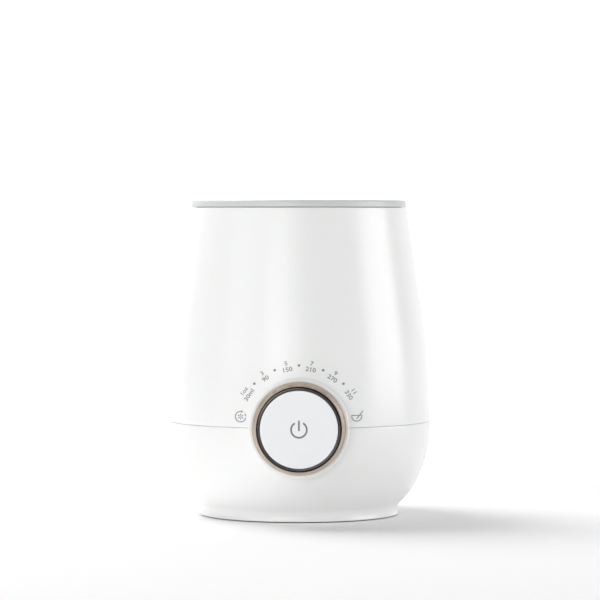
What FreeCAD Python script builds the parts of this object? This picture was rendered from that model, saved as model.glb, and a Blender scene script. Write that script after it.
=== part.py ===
import FreeCAD, Part
import math
import os
import Sketcher

# Bottle warmer: a round two-part housing that holds a heated water well, with a
# turning dial and a push button on its front. Millimetres. The origin is on the
# floor under the middle of the well, +Z is up and the dial faces -Y.
# "Ahead" is the distance in front of the well's axis, so ahead = -Y.

DRIVING = [
    # housing
    ("body_height", 153.1, "floor to the crest of the rim"),
    ("belly_radius", 64.1, "outside radius at the seam, the widest place"),
    ("seam_height", 46.0, "height of the seam and of the dial's axis"),
    ("flank_bend", 336.0, "radius of the swelling above the seam"),
    ("flank_lean", 8.45, "degrees that the upper flank leans in"),
    ("bowl_turn", 27.0, "degrees of the large bend under the seam"),
    ("heel_bend", 34.0, "radius of the tighter bend below it"),
    ("heel_turn", 48.0, "degrees from level where the heel ends"),
    ("ankle_height", 6.2, "height where the heel turns into the hollow waist"),
    ("waist_bend", 4.6, "radius of the hollow above the foot"),
    ("shell_lift", 0.5, "gap between the floor and the housing's edge"),
    ("wall", 2.2, "housing wall"),
    ("skirt_wall", 2.4, "wall of the housing at its foot"),
    ("tongue_wall", 0.95, "wall of the tongue that locates the two halves"),
    ("tongue_rise", 3.0, "height of that tongue"),
    ("tongue_play", 0.15, "clearance round the tongue"),
    ("floor_level", 3.2, "underside of the housing's floor ring"),
    ("floor_plate", 2.2, "thickness of the floor ring"),
    ("floor_opening", 30.0, "radius of the opening in the floor ring"),
    # rim, well and heater
    ("rim_height", 3.5, "visible height of the rim ring with its shadow gap"),
    ("rim_gap", 0.3, "shadow gap between housing and rim ring"),
    ("rim_round", 1.0, "rounding of the rim's outer edge"),
    ("rim_land", 0.75, "level crest of the rim"),
    ("rim_web", 1.1, "wall of the rim ring"),
    ("rim_dip", 1.9, "fall of the rim from its crest to the mouth"),
    ("rim_skirt", 3.6, "depth of the rim's skirt inside the housing"),
    ("rim_play", 0.2, "clearance of that skirt"),
    ("mouth_step", 0.3, "how much wider the rim's mouth is than the well"),
    ("well_radius", 41.0, "inside radius of the water well"),
    ("well_wall", 2.0, "wall of the well"),
    ("well_floor", 52.0, "underside of the well's bottom lip"),
    ("well_lip", 2.5, "thickness of the bottom lip"),
    ("well_lip_reach", 4.5, "how far the bottom lip stands in"),
    ("well_round", 1.5, "rounding where the well's wall meets its bottom lip"),
    ("well_flange", 1.8, "thickness of the well's top flange"),
    ("ledge_plate", 2.0, "thickness of the housing ledge that carries the well"),
    ("ledge_gap", 1.2, "clearance between ledge and well"),
    ("ledge_seal_height", 0.6, "rubber ring on the ledge"),
    ("seat_gap", 0.1, "assembly gap between stacked pieces"),
    ("seal_height", 1.5, "rubber ring between well and heater plate"),
    ("seal_inset", 0.5, "how far that ring stays inside the plate's edge"),
    ("heater_inset", 1.0, "heater plate inside the well's outer wall"),
    ("heater_plate_height", 2.0, "thickness of the heater plate"),
    ("heater_step", 3.0, "height of its raised middle"),
    ("heater_step_gap", 0.7, "gap between raised middle and well lip"),
    ("rest_rib_height", 1.2, "ribs that the bottle stands on"),
    ("rest_rib_width", 3.0, "their width"),
    ("rest_rib_inner", 10.0, "their inner end"),
    ("rest_rib_inset", 5.8, "their outer end from the edge of the raised middle"),
    ("element_gap", 4.8, "gap between heating tube and clamp ring"),
    ("element_tube", 3.2, "radius of the heating tube"),
    ("element_sweep", 290.0, "degrees of ring that the tube makes"),
    ("element_sleeve", 3.7, "radius of the end sleeves on the tube"),
    ("element_drop", 5.3, "end sleeves below the tube's centre line"),
    ("pin_radius", 1.2, "cold pins of the heating tube"),
    ("pin_length", 7.0, "their length"),
    ("clamp_height", 1.5, "clamp ring under the heater plate"),
    ("clamp_reach", 8.0, "how far it reaches under the plate"),
    ("clamp_margin", 1.5, "how far it stands out of the plate"),
    ("ear_offset", 4.0, "circle of the four clamping ears from the well's wall"),
    ("ear_radius", 4.5, "radius of an ear"),
    ("ear_height", 9.5, "height of the ears on the well"),
    ("stack_screw_depth", 8.0, "screw length inside a well ear"),
    # sensors under the plate
    ("thermostat_radius", 8.0, "bimetal thermostat"),
    ("thermostat_height", 6.0, "its height"),
    ("sensor_radius", 2.5, "water temperature sensor"),
    ("fuse_radius", 2.0, "thermal fuse"),
    ("fuse_length", 14.0, "its length"),
    ("clip_plate", 0.8, "spring strip that holds the sensors up"),
    ("clip_width", 6.0, "its width"),
    # chassis
    ("chassis_plate", 3.0, "thickness of the chassis ring"),
    ("chassis_gap", 0.3, "gap between it and the sleeves of the heating tube"),
    ("chassis_margin", 1.0, "its outer edge inside the circle of the ears"),
    ("spacer_height", 6.0, "spacers between chassis and clamp ring"),
    ("leg_inset", 4.939, "circle of the four chassis legs inside the foot ring"),
    ("leg_radius", 4.0, "radius of a leg"),
    ("screw_shank", 1.4, "radius of the large screws"),
    ("screw_hole", 1.5, "holes for them"),
    ("screw_head", 2.8, "radius of their heads"),
    ("screw_head_height", 1.8, "height of their heads"),
    ("leg_screw_depth", 8.0, "screw length inside a leg"),
    # base
    ("base_plate_height", 2.2, "thickness of the base plate"),
    ("base_play", 0.7, "gap between base plate and housing skirt"),
    ("base_head_room", 0.4, "clearance round a sunk screw head"),
    ("sunk_head", 1.2, "height of a sunk screw head"),
    ("foot_width", 2.6, "width of the rubber foot ring"),
    ("foot_inset", 1.2, "its distance from the base plate's edge"),
    ("foot_height", 1.8, "its height"),
    ("foot_play", 0.1, "clearance in its groove"),
    ("vent_circle", 20.0, "circle of the vent holes"),
    ("vent_radius", 1.6, "radius of a vent hole"),
    ("vent_count", 12.0, "number of vent holes"),
    # power board and what is on it
    ("board_length", 76.0, "power board, across"),
    ("board_width", 34.0, "power board, front to back"),
    ("board_plate", 1.6, "thickness of both circuit boards"),
    ("board_level", 16.0, "underside of the power board"),
    ("board_inset", 4.0, "screws from the board's edges"),
    ("post_radius", 3.0, "moulded screw posts"),
    ("small_shank", 0.9, "radius of the small screws"),
    ("small_hole", 1.0, "holes for them"),
    ("small_head", 2.0, "radius of their heads"),
    ("small_head_height", 1.2, "height of their heads"),
    ("small_depth", 5.0, "length of a small screw in its post"),
    ("relay_length", 19.0, "relay, across"),
    ("relay_width", 15.0, "relay, front to back"),
    ("relay_height", 15.5, "relay"),
    ("relay_place", 22.0, "relay, left of the middle"),
    ("transformer_length", 15.0, "transformer, across"),
    ("transformer_width", 13.0, "transformer, front to back"),
    ("transformer_height", 12.0, "transformer"),
    ("capacitor_radius", 5.0, "capacitors"),
    ("capacitor_height", 12.0, "capacitors"),
    ("capacitor_place", 24.0, "capacitors, right of the middle"),
    ("capacitor_pitch", 14.0, "distance between the two capacitors"),
    ("terminal_length", 16.0, "mains terminal block, across"),
    ("terminal_width", 7.0, "mains terminal block, front to back"),
    ("terminal_height", 9.0, "mains terminal block"),
    # cord inlet
    ("inlet_height", 20.0, "height of the cord inlet's axis"),
    ("inlet_proud", 0.236, "its flat land, out of the bowl"),
    ("inlet_land_radius", 8.5, "radius of the land"),
    ("inlet_depth", 8.5, "thickness of the inlet boss"),
    ("gland_flange_radius", 7.5, "flange of the cord gland"),
    ("gland_flange", 2.2, "thickness of that flange"),
    ("gland_neck", 4.9, "radius of the gland's neck"),
    ("gland_lip", 5.9, "radius of the lip that locks it"),
    ("gland_lip_length", 1.5, "length of that lip"),
    ("gland_play", 0.15, "clearance of the neck"),
    ("cord_bore", 3.4, "radius of the hole for the cord"),
    ("strap_place", 41.0, "cord clamp, behind the well's axis"),
    ("strap_pitch", 19.0, "distance between its screws"),
    ("strap_width", 7.0, "its width"),
    ("strap_height", 3.0, "its thickness"),
    # dial and button, back from the collar's face
    ("collar_proud", 1.5, "collar face ahead of the belly"),
    ("collar_bore", 21.35, "radius of the hole for the dial sleeve"),
    ("collar_wall", 2.35, "wall of the collar"),
    ("collar_round", 0.8, "rounding of the collar's edge"),
    ("flange_room", 0.5, "gap between the dial's flange and the housing wall"),
    ("run_gap", 0.3, "gap beside everything that turns"),
    ("ring_depth", 6.1, "front to back size of the metal ring"),
    ("ring_lap", 0.8, "how far the ring's back covers the gap round the sleeve"),
    ("ring_edge", 0.35, "width of its front edge"),
    ("ring_band", 0.5, "straight band at its back"),
    ("notch_radius", 0.45, "pointer notch in the ring's front edge"),
    ("sleeve_play", 0.15, "clearance of the dial sleeve in the collar"),
    ("sleeve_wall", 1.2, "wall of the dial sleeve"),
    ("dial_flange_reach", 3.2, "flange that keeps the dial in, out of the sleeve"),
    ("dial_flange", 2.0, "its thickness"),
    ("skirt_step", 0.2, "wiper skirt from the sleeve's inside"),
    ("wiper_skirt", 2.4, "wall of the wiper skirt"),
    ("skirt_length", 2.4, "its length"),
    ("scallop_radius", 0.7, "detent scallops"),
    ("scallop_count", 13.0, "number of detent scallops"),
    ("detent_step", 11.3, "degrees between two dial marks"),
    ("dial_reach", 78.0, "degrees from the middle mark to either end"),
    ("tab_angle", 4.0, "half angle of the stop tab"),
    ("tab_reach", 1.8, "how far the tab stands out of the flange"),
    ("tab_plate", 1.0, "its thickness"),
    ("stop_angle", 7.0, "angle of a stop block"),
    ("stop_play", 0.5, "degrees between tab and stop at the end"),
    ("bracket_width", 5.5, "width of the dial bracket's ring"),
    ("bracket_play", 0.4, "clearance of the wiper skirt in its bore"),
    ("bracket_plate", 2.0, "its thickness"),
    ("bracket_ear_offset", 0.57, "circle of its screws from its edge"),
    ("bracket_ear_angle", 49.2, "degrees of its screws above level"),
    ("boss_radius", 2.8, "housing bosses for those screws"),
    ("standoff", 1.9, "distance between bracket and dial board"),
    ("standoff_offset", 2.6, "circle of the three standoffs from the bore"),
    ("standoff_radius", 1.8, "radius of a standoff"),
    ("dial_board_inset", 1.0, "edge of the dial board inside the bracket's edge"),
    ("led_count", 12.0, "number of chips"),
    ("led_size", 1.0, "radius of a chip"),
    ("led_height", 0.8, "height of a chip"),
    ("guide_gap", 0.5, "gap between light guide and metal ring"),
    ("guide_wall", 1.0, "wall of the light guide"),
    ("guide_front", 0.4, "how far its face lies behind the ring's"),
    ("guide_lip", 1.6, "inner lip that seats it on the hub"),
    ("guide_lip_length", 1.2, "length of that lip"),
    ("hub_floor_gap", 1.3, "distance between dial board and hub"),
    ("hub_floor", 2.0, "thickness of the hub's floor"),
    ("hub_hole", 5.0, "opening round the switch"),
    ("hub_play", 0.2, "clearance between hub sleeve and button lip"),
    ("hub_wall", 1.6, "wall of the hub's sleeve"),
    ("hub_sleeve", 10.5, "length of that sleeve"),
    ("hub_lip", 0.5, "snap lip on the sleeve"),
    ("hub_lip_length", 1.0, "length of the snap lip"),
    ("hub_screw_circle", 10.0, "circle of the three hub posts"),
    ("button_gap", 0.3, "gap between button and light guide"),
    ("button_proud", 1.5, "button face ahead of the ring's"),
    ("button_plate", 2.5, "thickness of the button's face"),
    ("button_round", 0.5, "rounding of its edge"),
    ("button_skirt", 1.9, "wall of the button's skirt"),
    ("button_lip", 0.5, "inward snap lip of the skirt"),
    ("button_stem", 2.5, "radius of the stem behind the button"),
    ("switch_size", 6.0, "push switch, square"),
    ("switch_height", 3.5, "height of its case"),
    ("plunger_radius", 1.7, "its plunger"),
    ("plunger_play", 0.15, "clearance of the plunger"),
    ("plunger_proud", 3.3, "plunger ahead of the switch case"),
    ("plunger_rest", 2.4, "plunger end from the board at rest"),
    ("socket_floor", 1.0, "case left under the plunger's socket"),
    ("ribbon_plate", 0.6, "flat cable between the boards"),
    ("ribbon_width", 12.0, "its width"),
    ("ribbon_drop", 18.5, "its upper end below the dial's axis"),
]

QUARTERS = [45, 135, 225, 315]
THIRDS = [90, 210, 330]
LEGS = [60, 120, 240, 300]


class Size:
    """A length or angle: its value now and the formula that ties it to the sheet."""

    def __init__(self, value, formula):
        self.value = value
        self.formula = formula

    def __add__(self, other):
        return joined(self, "+", other, lambda a, b: a + b)

    def __radd__(self, other):
        return joined(other, "+", self, lambda a, b: a + b)

    def __sub__(self, other):
        return joined(self, "-", other, lambda a, b: a - b)

    def __rsub__(self, other):
        return joined(other, "-", self, lambda a, b: a - b)

    def __mul__(self, other):
        return joined(self, "*", other, lambda a, b: a * b)

    def __rmul__(self, other):
        return joined(other, "*", self, lambda a, b: a * b)

    def __truediv__(self, other):
        return joined(self, "/", other, lambda a, b: a / b)

    def __neg__(self):
        return 0 - self


def sized(number):
    """A plain number as a Size; a Size stays what it is."""
    if isinstance(number, Size):
        return number
    return Size(float(number), f"{float(number):.9g}")


def joined(left, sign, right, work):
    """The sum, difference, product or ratio of two sizes."""
    left = sized(left)
    right = sized(right)
    return Size(work(left.value, right.value), f"({left.formula} {sign} {right.formula})")


def root(size):
    """Square root of a size."""
    return Size(math.sqrt(size.value), f"sqrt({size.formula})")


def sine(angle):
    """Sine of an angle in degrees."""
    angle = sized(angle)
    return Size(math.sin(math.radians(angle.value)), f"sin({angle.formula})")


def cosine(angle):
    """Cosine of an angle in degrees."""
    angle = sized(angle)
    return Size(math.cos(math.radians(angle.value)), f"cos({angle.formula})")


def other_side(long_side, short_side):
    """Third side of a right-angled triangle, from its longest and one other."""
    return root(long_side * long_side - short_side * short_side)


def lesser(one, other):
    """The smaller of two sizes."""
    return Size(min(one.value, other.value), f"min({one.formula}; {other.formula})")


def fill_sheet(document):
    """Writes the driving sizes to the sheet and returns them as a namespace."""
    sheet = document.addObject("Spreadsheet::Sheet", "dims")
    table = type("Table", (), {})()
    for row, (name, value, note) in enumerate(DRIVING, start=1):
        sheet.set(f"A{row}", str(value))
        sheet.setAlias(f"A{row}", name)
        sheet.set(f"B{row}", note)
        setattr(table, name, Size(value, f"dims.{name}"))
    document.recompute()
    return table


doc = FreeCAD.newDocument("bottle_warmer")
s = fill_sheet(doc)
bodies = []


# ---------------------------------------------------------------- drawing tools

def polar(radius, angle):
    """The point at a radius and an angle, counted from the sketch's own +X."""
    return (radius * cosine(angle), radius * sine(angle))


def circle(x, y, radius):
    """A round loop."""
    return ("circle", sized(x), sized(y), sized(radius))


def circles(angles, ring_radius, radius):
    """Equal round loops on a ring."""
    return [circle(*polar(ring_radius, angle), radius) for angle in angles]


def outline(*corners):
    """A closed loop of corners (x, y) or (x, y, bend). A bend is the radius of the
    arc that leaves the corner, positive when it turns left and negative when right."""
    return ("outline", [tuple(sized(part) for part in corner) for corner in corners])


def block(x_low, y_low, x_high, y_high):
    """A rectangular loop."""
    return outline((x_low, y_low), (x_high, y_low), (x_high, y_high), (x_low, y_high))


def centred(x, y, length, width):
    """A rectangular loop round its middle."""
    half_length = sized(length) / 2
    half_width = sized(width) / 2
    return block(x - half_length, y - half_width, x + half_length, y + half_width)


def sector(inner, outer, first_angle, last_angle):
    """A piece of a flat ring between two angles."""
    outer = sized(outer)
    inner = sized(inner)
    return outline((*polar(inner, first_angle),), (*polar(outer, first_angle), outer),
                   (*polar(outer, last_angle),), (*polar(inner, last_angle), -inner))


def spoke(inner, outer, width, angle):
    """A straight bar along a radius."""
    half = sized(width) / 2

    def corner(radius, side):
        return (radius * cosine(angle) - side * sine(angle),
                radius * sine(angle) + side * cosine(angle))

    return outline(corner(inner, -half), corner(outer, -half),
                   corner(outer, half), corner(inner, half))


def hold(sketch, kind, axis, geometry, point, size):
    """Ties one coordinate of a point to its formula."""
    if abs(size.value) < 1e-9:
        sketch.addConstraint(Sketcher.Constraint("PointOnObject", geometry, point, axis))
        return
    index = sketch.addConstraint(Sketcher.Constraint(kind, -1, 1, geometry, point, size.value))
    sketch.setExpression(f"Constraints[{index}]", size.formula)


def hold_point(sketch, geometry, point, x, y):
    """Ties a point to its two formulas."""
    hold(sketch, "DistanceX", -2, geometry, point, x)
    hold(sketch, "DistanceY", -1, geometry, point, y)


def hold_radius(sketch, geometry, size):
    """Ties the radius of a circle or an arc to its formula."""
    index = sketch.addConstraint(Sketcher.Constraint("Radius", geometry, size.value))
    sketch.setExpression(f"Constraints[{index}]", size.formula)


def draw_circle(sketch, x, y, radius):
    """Adds a round loop to a sketch."""
    centre = FreeCAD.Vector(x.value, y.value, 0)
    round_edge = Part.Circle(centre, FreeCAD.Vector(0, 0, 1), radius.value)
    geometry = sketch.addGeometry(round_edge, False)
    hold_point(sketch, geometry, 3, x, y)
    hold_radius(sketch, geometry, radius)


def arc_middle(start, end, bend):
    """The middle of the arc of radius |bend| from start to end."""
    chord = end - start
    sagitta = abs(bend) - math.sqrt(bend * bend - chord.Length ** 2 / 4)
    outward = FreeCAD.Vector(chord.y, -chord.x, 0).normalize()
    return (start + end) * 0.5 + outward * math.copysign(sagitta, bend)


def draw_outline(sketch, corners):
    """Adds a closed loop of lines and arcs to a sketch."""
    points = [FreeCAD.Vector(corner[0].value, corner[1].value, 0) for corner in corners]
    ends = []
    for index, corner in enumerate(corners):
        start = points[index]
        end = points[(index + 1) % len(points)]
        if len(corner) == 2:
            ends.append((sketch.addGeometry(Part.LineSegment(start, end), False), 1, 2))
            continue
        bend = corner[2]
        middle = arc_middle(start, end, bend.value)
        if bend.value > 0:
            geometry = sketch.addGeometry(Part.Arc(start, middle, end), False)
            ends.append((geometry, 1, 2))
            hold_radius(sketch, geometry, bend)
        else:
            geometry = sketch.addGeometry(Part.Arc(end, middle, start), False)
            ends.append((geometry, 2, 1))
            hold_radius(sketch, geometry, -bend)
    for index, (geometry, start_point, _) in enumerate(ends):
        before, _, end_point = ends[index - 1]
        sketch.addConstraint(Sketcher.Constraint("Coincident", before, end_point,
                                                 geometry, start_point))
        hold_point(sketch, geometry, start_point, corners[index][0], corners[index][1])


# Where a sketch lies: the body's own plane, which coordinate of the attachment
# carries the distance along the plane's normal, and how the sketch is turned.
UPRIGHT = FreeCAD.Rotation()
MIRRORED = FreeCAD.Rotation(FreeCAD.Vector(0, 1, 0), 180)
UPSIDE_DOWN = FreeCAD.Rotation(FreeCAD.Vector(0, 0, 1), 180)


class Piece:
    """One physical piece, made by adding and cutting features in order."""

    def __init__(self, name):
        self.body = doc.addObject("PartDesign::Body", name)
        self.body.Label = name
        bodies.append(self.body)

    def sketch(self, role, loops, shift=(0, 0, 0), turn=UPRIGHT):
        """A sketch on one of the body's own planes, moved by three sizes."""
        plane = next(part for part in self.body.Origin.OriginFeatures if part.Role == role)
        drawing = self.body.newObject("Sketcher::SketchObject", f"{self.body.Label}_sketch")
        drawing.AttachmentSupport = [(plane, "")]
        drawing.MapMode = "FlatFace"
        move = [sized(part) for part in shift]
        place = FreeCAD.Vector(*(part.value for part in move))
        drawing.AttachmentOffset = FreeCAD.Placement(place, turn)
        for axis, part in zip("xyz", move):
            if part.formula != "0":
                drawing.setExpression(f"AttachmentOffset.Base.{axis}", part.formula)
        for loop in loops:
            if loop[0] == "circle":
                draw_circle(drawing, *loop[1:])
            else:
                draw_outline(drawing, loop[1])
        return drawing

    def spin(self, drawing, axis, sweep, cut):
        """Turns a sketch about one of its own axes, to add or to cut."""
        kind = "PartDesign::Groove" if cut else "PartDesign::Revolution"
        feature = self.body.newObject(kind, f"{self.body.Label}_turned")
        feature.Profile = (drawing, [""])
        feature.ReferenceAxis = (drawing, [axis])
        feature.Angle = sized(sweep).value
        feature.setExpression("Angle", sized(sweep).formula)
        return feature

    def turned(self, *loops, sweep=360, cut=False):
        """Loops of (radius, height) turned about the well's axis."""
        self.spin(self.sketch("XZ_Plane", loops), "V_Axis", sweep, cut)
        return self

    def turned_on_dial(self, *loops, cut=False):
        """Loops of (ahead, radius) turned about the dial's axis."""
        drawing = self.sketch("YZ_Plane", loops, (0, s.seam_height, 0), MIRRORED)
        self.spin(drawing, "H_Axis", 360, cut)
        return self

    def half_collar(self, loop, turn):
        """A loop of (ahead, radius) turned half round the dial's axis."""
        drawing = self.sketch("YZ_Plane", [loop], (0, s.seam_height, 0), turn)
        feature = self.spin(drawing, "H_Axis", 180, False)
        feature.Midplane = True
        return self

    def raised(self, low, high, *loops):
        """Level loops of (x, y), filled from one height to another."""
        return self.pad("XY_Plane", (0, 0, low), high - low, loops)

    def sunk(self, low, high, *loops):
        """Level loops of (x, y), cut out from one height to another."""
        return self.pocket("XY_Plane", (0, 0, low), high - low, loops)

    def ahead(self, back, front, *loops):
        """Loops of (x, height over the dial's axis), filled from back to front."""
        return self.pad("XZ_Plane", (0, s.seam_height, back), front - back, loops)

    def cut_ahead(self, back, front, *loops):
        """Loops of (x, height over the dial's axis), cut out from back to front."""
        return self.pocket("XZ_Plane", (0, s.seam_height, back), front - back, loops)

    def pad(self, role, shift, length, loops):
        """Fills loops along the plane's normal."""
        feature = self.body.newObject("PartDesign::Pad", f"{self.body.Label}_pad")
        feature.Profile = (self.sketch(role, loops, shift), [""])
        feature.Length = sized(length).value
        feature.setExpression("Length", sized(length).formula)
        return self

    def pocket(self, role, shift, length, loops):
        """Cuts loops out along the plane's normal."""
        drawing = self.sketch(role, loops, shift)
        feature = self.body.newObject("PartDesign::Pocket", f"{self.body.Label}_pocket")
        feature.Profile = (drawing, [""])
        feature.Reversed = True
        feature.Length = sized(length).value
        feature.setExpression("Length", sized(length).formula)
        return self


# ---------------------------------------------------------------- shared places

# Housing outline under the seam: the large bend and the heel meet tangentially and
# fill the height between ankle and seam.
bowl_bend = (s.seam_height - s.ankle_height
             - s.heel_bend * (sine(s.heel_turn) - sine(s.bowl_turn))) / sine(s.bowl_turn)
bowl_middle = s.belly_radius - bowl_bend
heel_middle = bowl_middle + (bowl_bend - s.heel_bend) * cosine(s.bowl_turn)
heel_level = s.seam_height - (bowl_bend - s.heel_bend) * sine(s.bowl_turn)
ankle_radius = heel_middle + s.heel_bend * cosine(s.heel_turn)
waist_middle = ankle_radius + s.waist_bend * cosine(s.heel_turn)
waist_level = s.ankle_height - s.waist_bend * sine(s.heel_turn)
foot_radius = waist_middle - other_side(s.waist_bend, waist_level - s.shell_lift)
skirt_radius = waist_middle - s.waist_bend - s.skirt_wall
floor_top = s.floor_level + s.floor_plate

# Housing outline above the seam: a long bend, then a straight flank.
flank_middle = s.belly_radius - s.flank_bend
flank_start = flank_middle + s.flank_bend * cosine(s.flank_lean)
flank_level = s.seam_height + s.flank_bend * sine(s.flank_lean)
shell_top = s.body_height - s.rim_height


def flank_radius(height):
    """Outside radius of the straight flank at a height."""
    return flank_start - (height - flank_level) * sine(s.flank_lean) / cosine(s.flank_lean)


def flank_inside(height):
    """Inside radius of the straight flank at a height."""
    return flank_radius(height) - s.wall / cosine(s.flank_lean)


def bend_inside(height):
    """Inside radius of the long bend above the seam at a height."""
    return flank_middle + other_side(s.flank_bend - s.wall, height - s.seam_height)


def bowl_radius(height, inset=0):
    """Radius of the large bend under the seam at a height, less an inset."""
    return bowl_middle + other_side(bowl_bend - inset, s.seam_height - height)


# Base plate and foot.
base_top = s.floor_level
base_bottom = base_top - s.base_plate_height
base_radius = skirt_radius - s.base_play
foot_outer = base_radius - s.foot_inset
foot_inner = foot_outer - s.foot_width
sunk_head_bottom = base_bottom + s.seat_gap
sunk_head_top = sunk_head_bottom + s.sunk_head
leg_circle = foot_inner - s.leg_inset

# The well hangs by its flange on a rubber ring on the housing's ledge.
rim_bottom = shell_top - s.rim_skirt
well_top = rim_bottom
ledge_seal_top = well_top - s.well_flange
ledge_top = ledge_seal_top - s.ledge_seal_height
well_outside = s.well_radius + s.well_wall
well_flange_radius = flank_inside(well_top) - s.ledge_gap
ledge_inner = well_outside + s.ledge_gap

# Under it hang the seal, the heater plate, the clamp ring and the chassis.
heater_radius = well_outside - s.heater_inset
clamp_inner = heater_radius - s.clamp_reach
clamp_outer = heater_radius + s.clamp_margin
ear_circle = well_outside + s.ear_offset
element_radius = clamp_inner - s.element_gap - s.element_tube
sensor_place = (s.thermostat_radius + element_radius - s.element_tube) / 2
chassis_inner = element_radius + s.element_sleeve + s.chassis_gap
chassis_outer = ear_circle - s.chassis_margin
plate_top = s.well_floor - s.seal_height
plate_bottom = plate_top - s.heater_plate_height
plateau_top = plate_top + s.heater_step
lip_radius = s.well_radius - s.well_lip_reach
clamp_bottom = plate_bottom - s.clamp_height
chassis_top = clamp_bottom - s.spacer_height
chassis_bottom = chassis_top - s.chassis_plate
element_level = plate_bottom - s.element_tube
element_end = element_level - s.element_drop

# Cord inlet.
inlet_land = bowl_radius(s.inlet_height) + s.inlet_proud

# Power board.
board_top = s.board_level + s.board_plate
board_screw_x = s.board_length / 2 - s.board_inset
board_screw_y = s.board_width / 2 - s.board_inset
board_screws = [(side * board_screw_x, end * board_screw_y)
                for side in (-1, 1) for end in (-1, 1)]

# Dial assembly: radii inwards and outwards from the collar's bore.
sleeve_outer = s.collar_bore - s.sleeve_play
ring_inner = sleeve_outer - s.sleeve_wall
ring_outer = sleeve_outer + s.ring_lap
dial_flange_radius = sleeve_outer + s.dial_flange_reach
skirt_inner = ring_inner + s.skirt_step
skirt_outer = skirt_inner + s.wiper_skirt
guide_outer = ring_inner - s.guide_gap
guide_inner = guide_outer - s.guide_wall
button_radius = guide_inner - s.button_gap
button_skirt_inner = button_radius - s.button_skirt
button_lip_radius = button_skirt_inner - s.button_lip
hub_outer = button_lip_radius - s.hub_play
hub_inner = hub_outer - s.hub_wall
led_circle = (guide_inner + guide_outer) / 2
bracket_bore = skirt_outer + s.bracket_play
bracket_outer = bracket_bore + s.bracket_width
standoff_circle = bracket_bore + s.standoff_offset
dial_board_radius = bracket_outer - s.dial_board_inset
bracket_ears = [180 - s.bracket_ear_angle, s.bracket_ear_angle]
bracket_ear_circle = bracket_outer + s.bracket_ear_offset

# Dial assembly: distances ahead. The flange lies just behind the housing's wall, where
# that is nearest: beside the flange at the seam, or under it in the bowl.
collar_front = s.belly_radius + s.collar_proud
wall_beside = other_side(s.belly_radius - s.wall, dial_flange_radius)
wall_under = bowl_radius(s.seam_height - dial_flange_radius, s.wall)
dial_flange_front = lesser(wall_beside, wall_under) - s.flange_room
collar_back = dial_flange_front + s.run_gap
ring_back = collar_front + s.run_gap
ring_front = ring_back + s.ring_depth
dial_flange_back = dial_flange_front - s.dial_flange
bracket_front = dial_flange_back - s.run_gap
bracket_back = bracket_front - s.bracket_plate
dial_board_front = bracket_back - s.standoff
dial_board_back = dial_board_front - s.board_plate
hub_back = dial_board_front + s.hub_floor_gap
hub_front = hub_back + s.hub_floor
hub_end = hub_front + s.hub_sleeve
hub_lip_back = hub_end - s.hub_lip_length
button_front = ring_front + s.button_proud
button_back = button_front - s.button_plate
button_lip_front = hub_lip_back - s.seat_gap
button_lip_back = button_lip_front - s.hub_lip_length
switch_front = dial_board_front + s.switch_height
plunger_front = switch_front + s.plunger_proud
plunger_back = dial_board_front + s.plunger_rest
ribbon_ahead = dial_board_back - s.capacitor_radius / 2


# ---------------------------------------------------------------- housing

def make_lower_shell():
    """Bowl-shaped lower housing with its floor ring, posts, inlet and half collar."""
    bowl_end = (bowl_middle + bowl_bend * cosine(s.bowl_turn),
                s.seam_height - bowl_bend * sine(s.bowl_turn))
    bowl_end_inside = (bowl_middle + (bowl_bend - s.wall) * cosine(s.bowl_turn),
                       s.seam_height - (bowl_bend - s.wall) * sine(s.bowl_turn))
    heel_inside = heel_middle + other_side(s.heel_bend - s.wall, heel_level - floor_top)
    tongue_inner = s.belly_radius - s.wall
    tongue_outer = tongue_inner + s.tongue_wall
    tongue_top = s.seam_height + s.tongue_rise
    piece = Piece("lower_shell")
    piece.turned(outline(
        (s.belly_radius, s.seam_height, -bowl_bend),
        (*bowl_end, -s.heel_bend),
        (ankle_radius, s.ankle_height, s.waist_bend),
        (foot_radius, s.shell_lift),
        (skirt_radius, s.shell_lift),
        (skirt_radius, s.floor_level),
        (s.floor_opening, s.floor_level),
        (s.floor_opening, floor_top),
        (heel_inside, floor_top, s.heel_bend - s.wall),
        (*bowl_end_inside, bowl_bend - s.wall),
        (tongue_inner, s.seam_height),
        (tongue_inner, tongue_top),
        (tongue_outer, tongue_top),
        (tongue_outer, s.seam_height)))
    piece.half_collar(collar_outline(), UPSIDE_DOWN)
    notch_half = bracket_outer - s.seat_gap
    piece.cut_ahead(collar_back - s.wall, collar_front, block(-notch_half, 0, notch_half,
                                                              s.tongue_rise + s.seat_gap))
    piece.cut_ahead(bracket_front, ring_back, circle(0, 0, s.collar_bore))
    add_inlet_boss(piece)
    posts = [circle(x, y, s.post_radius) for x, y in board_screws]
    pilots = [circle(x, y, s.small_hole) for x, y in board_screws]
    piece.raised(floor_top, s.board_level, *posts)
    piece.sunk(s.board_level - s.small_depth - s.seat_gap, s.board_level, *pilots)
    piece.raised(floor_top, strap_level(), *strap_loops(s.post_radius))
    piece.sunk(strap_level() - s.small_depth - s.seat_gap, strap_level(),
               *strap_loops(s.small_hole))
    piece.sunk(s.floor_level, floor_top, *circles(LEGS, leg_circle, s.screw_hole))


def collar_outline():
    """Section of the collar round the dial: (ahead, radius)."""
    outer = s.collar_bore + s.collar_wall
    return outline((collar_back, s.collar_bore),
                   (collar_front, s.collar_bore),
                   (collar_front, outer - s.collar_round, s.collar_round),
                   (collar_front - s.collar_round, outer),
                   (collar_back, outer))


def add_inlet_boss(piece):
    """Flat-faced boss at the back with the hole for the cord gland."""
    level = s.inlet_height - s.seam_height
    piece.ahead(-inlet_land, s.inlet_depth - inlet_land,
                circle(0, level, s.inlet_land_radius))
    piece.cut_ahead(-s.belly_radius, -inlet_land, circle(0, level, s.inlet_land_radius))
    piece.cut_ahead(-inlet_land, s.inlet_depth - inlet_land,
                    circle(0, level, s.gland_neck + s.gland_play))


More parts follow.
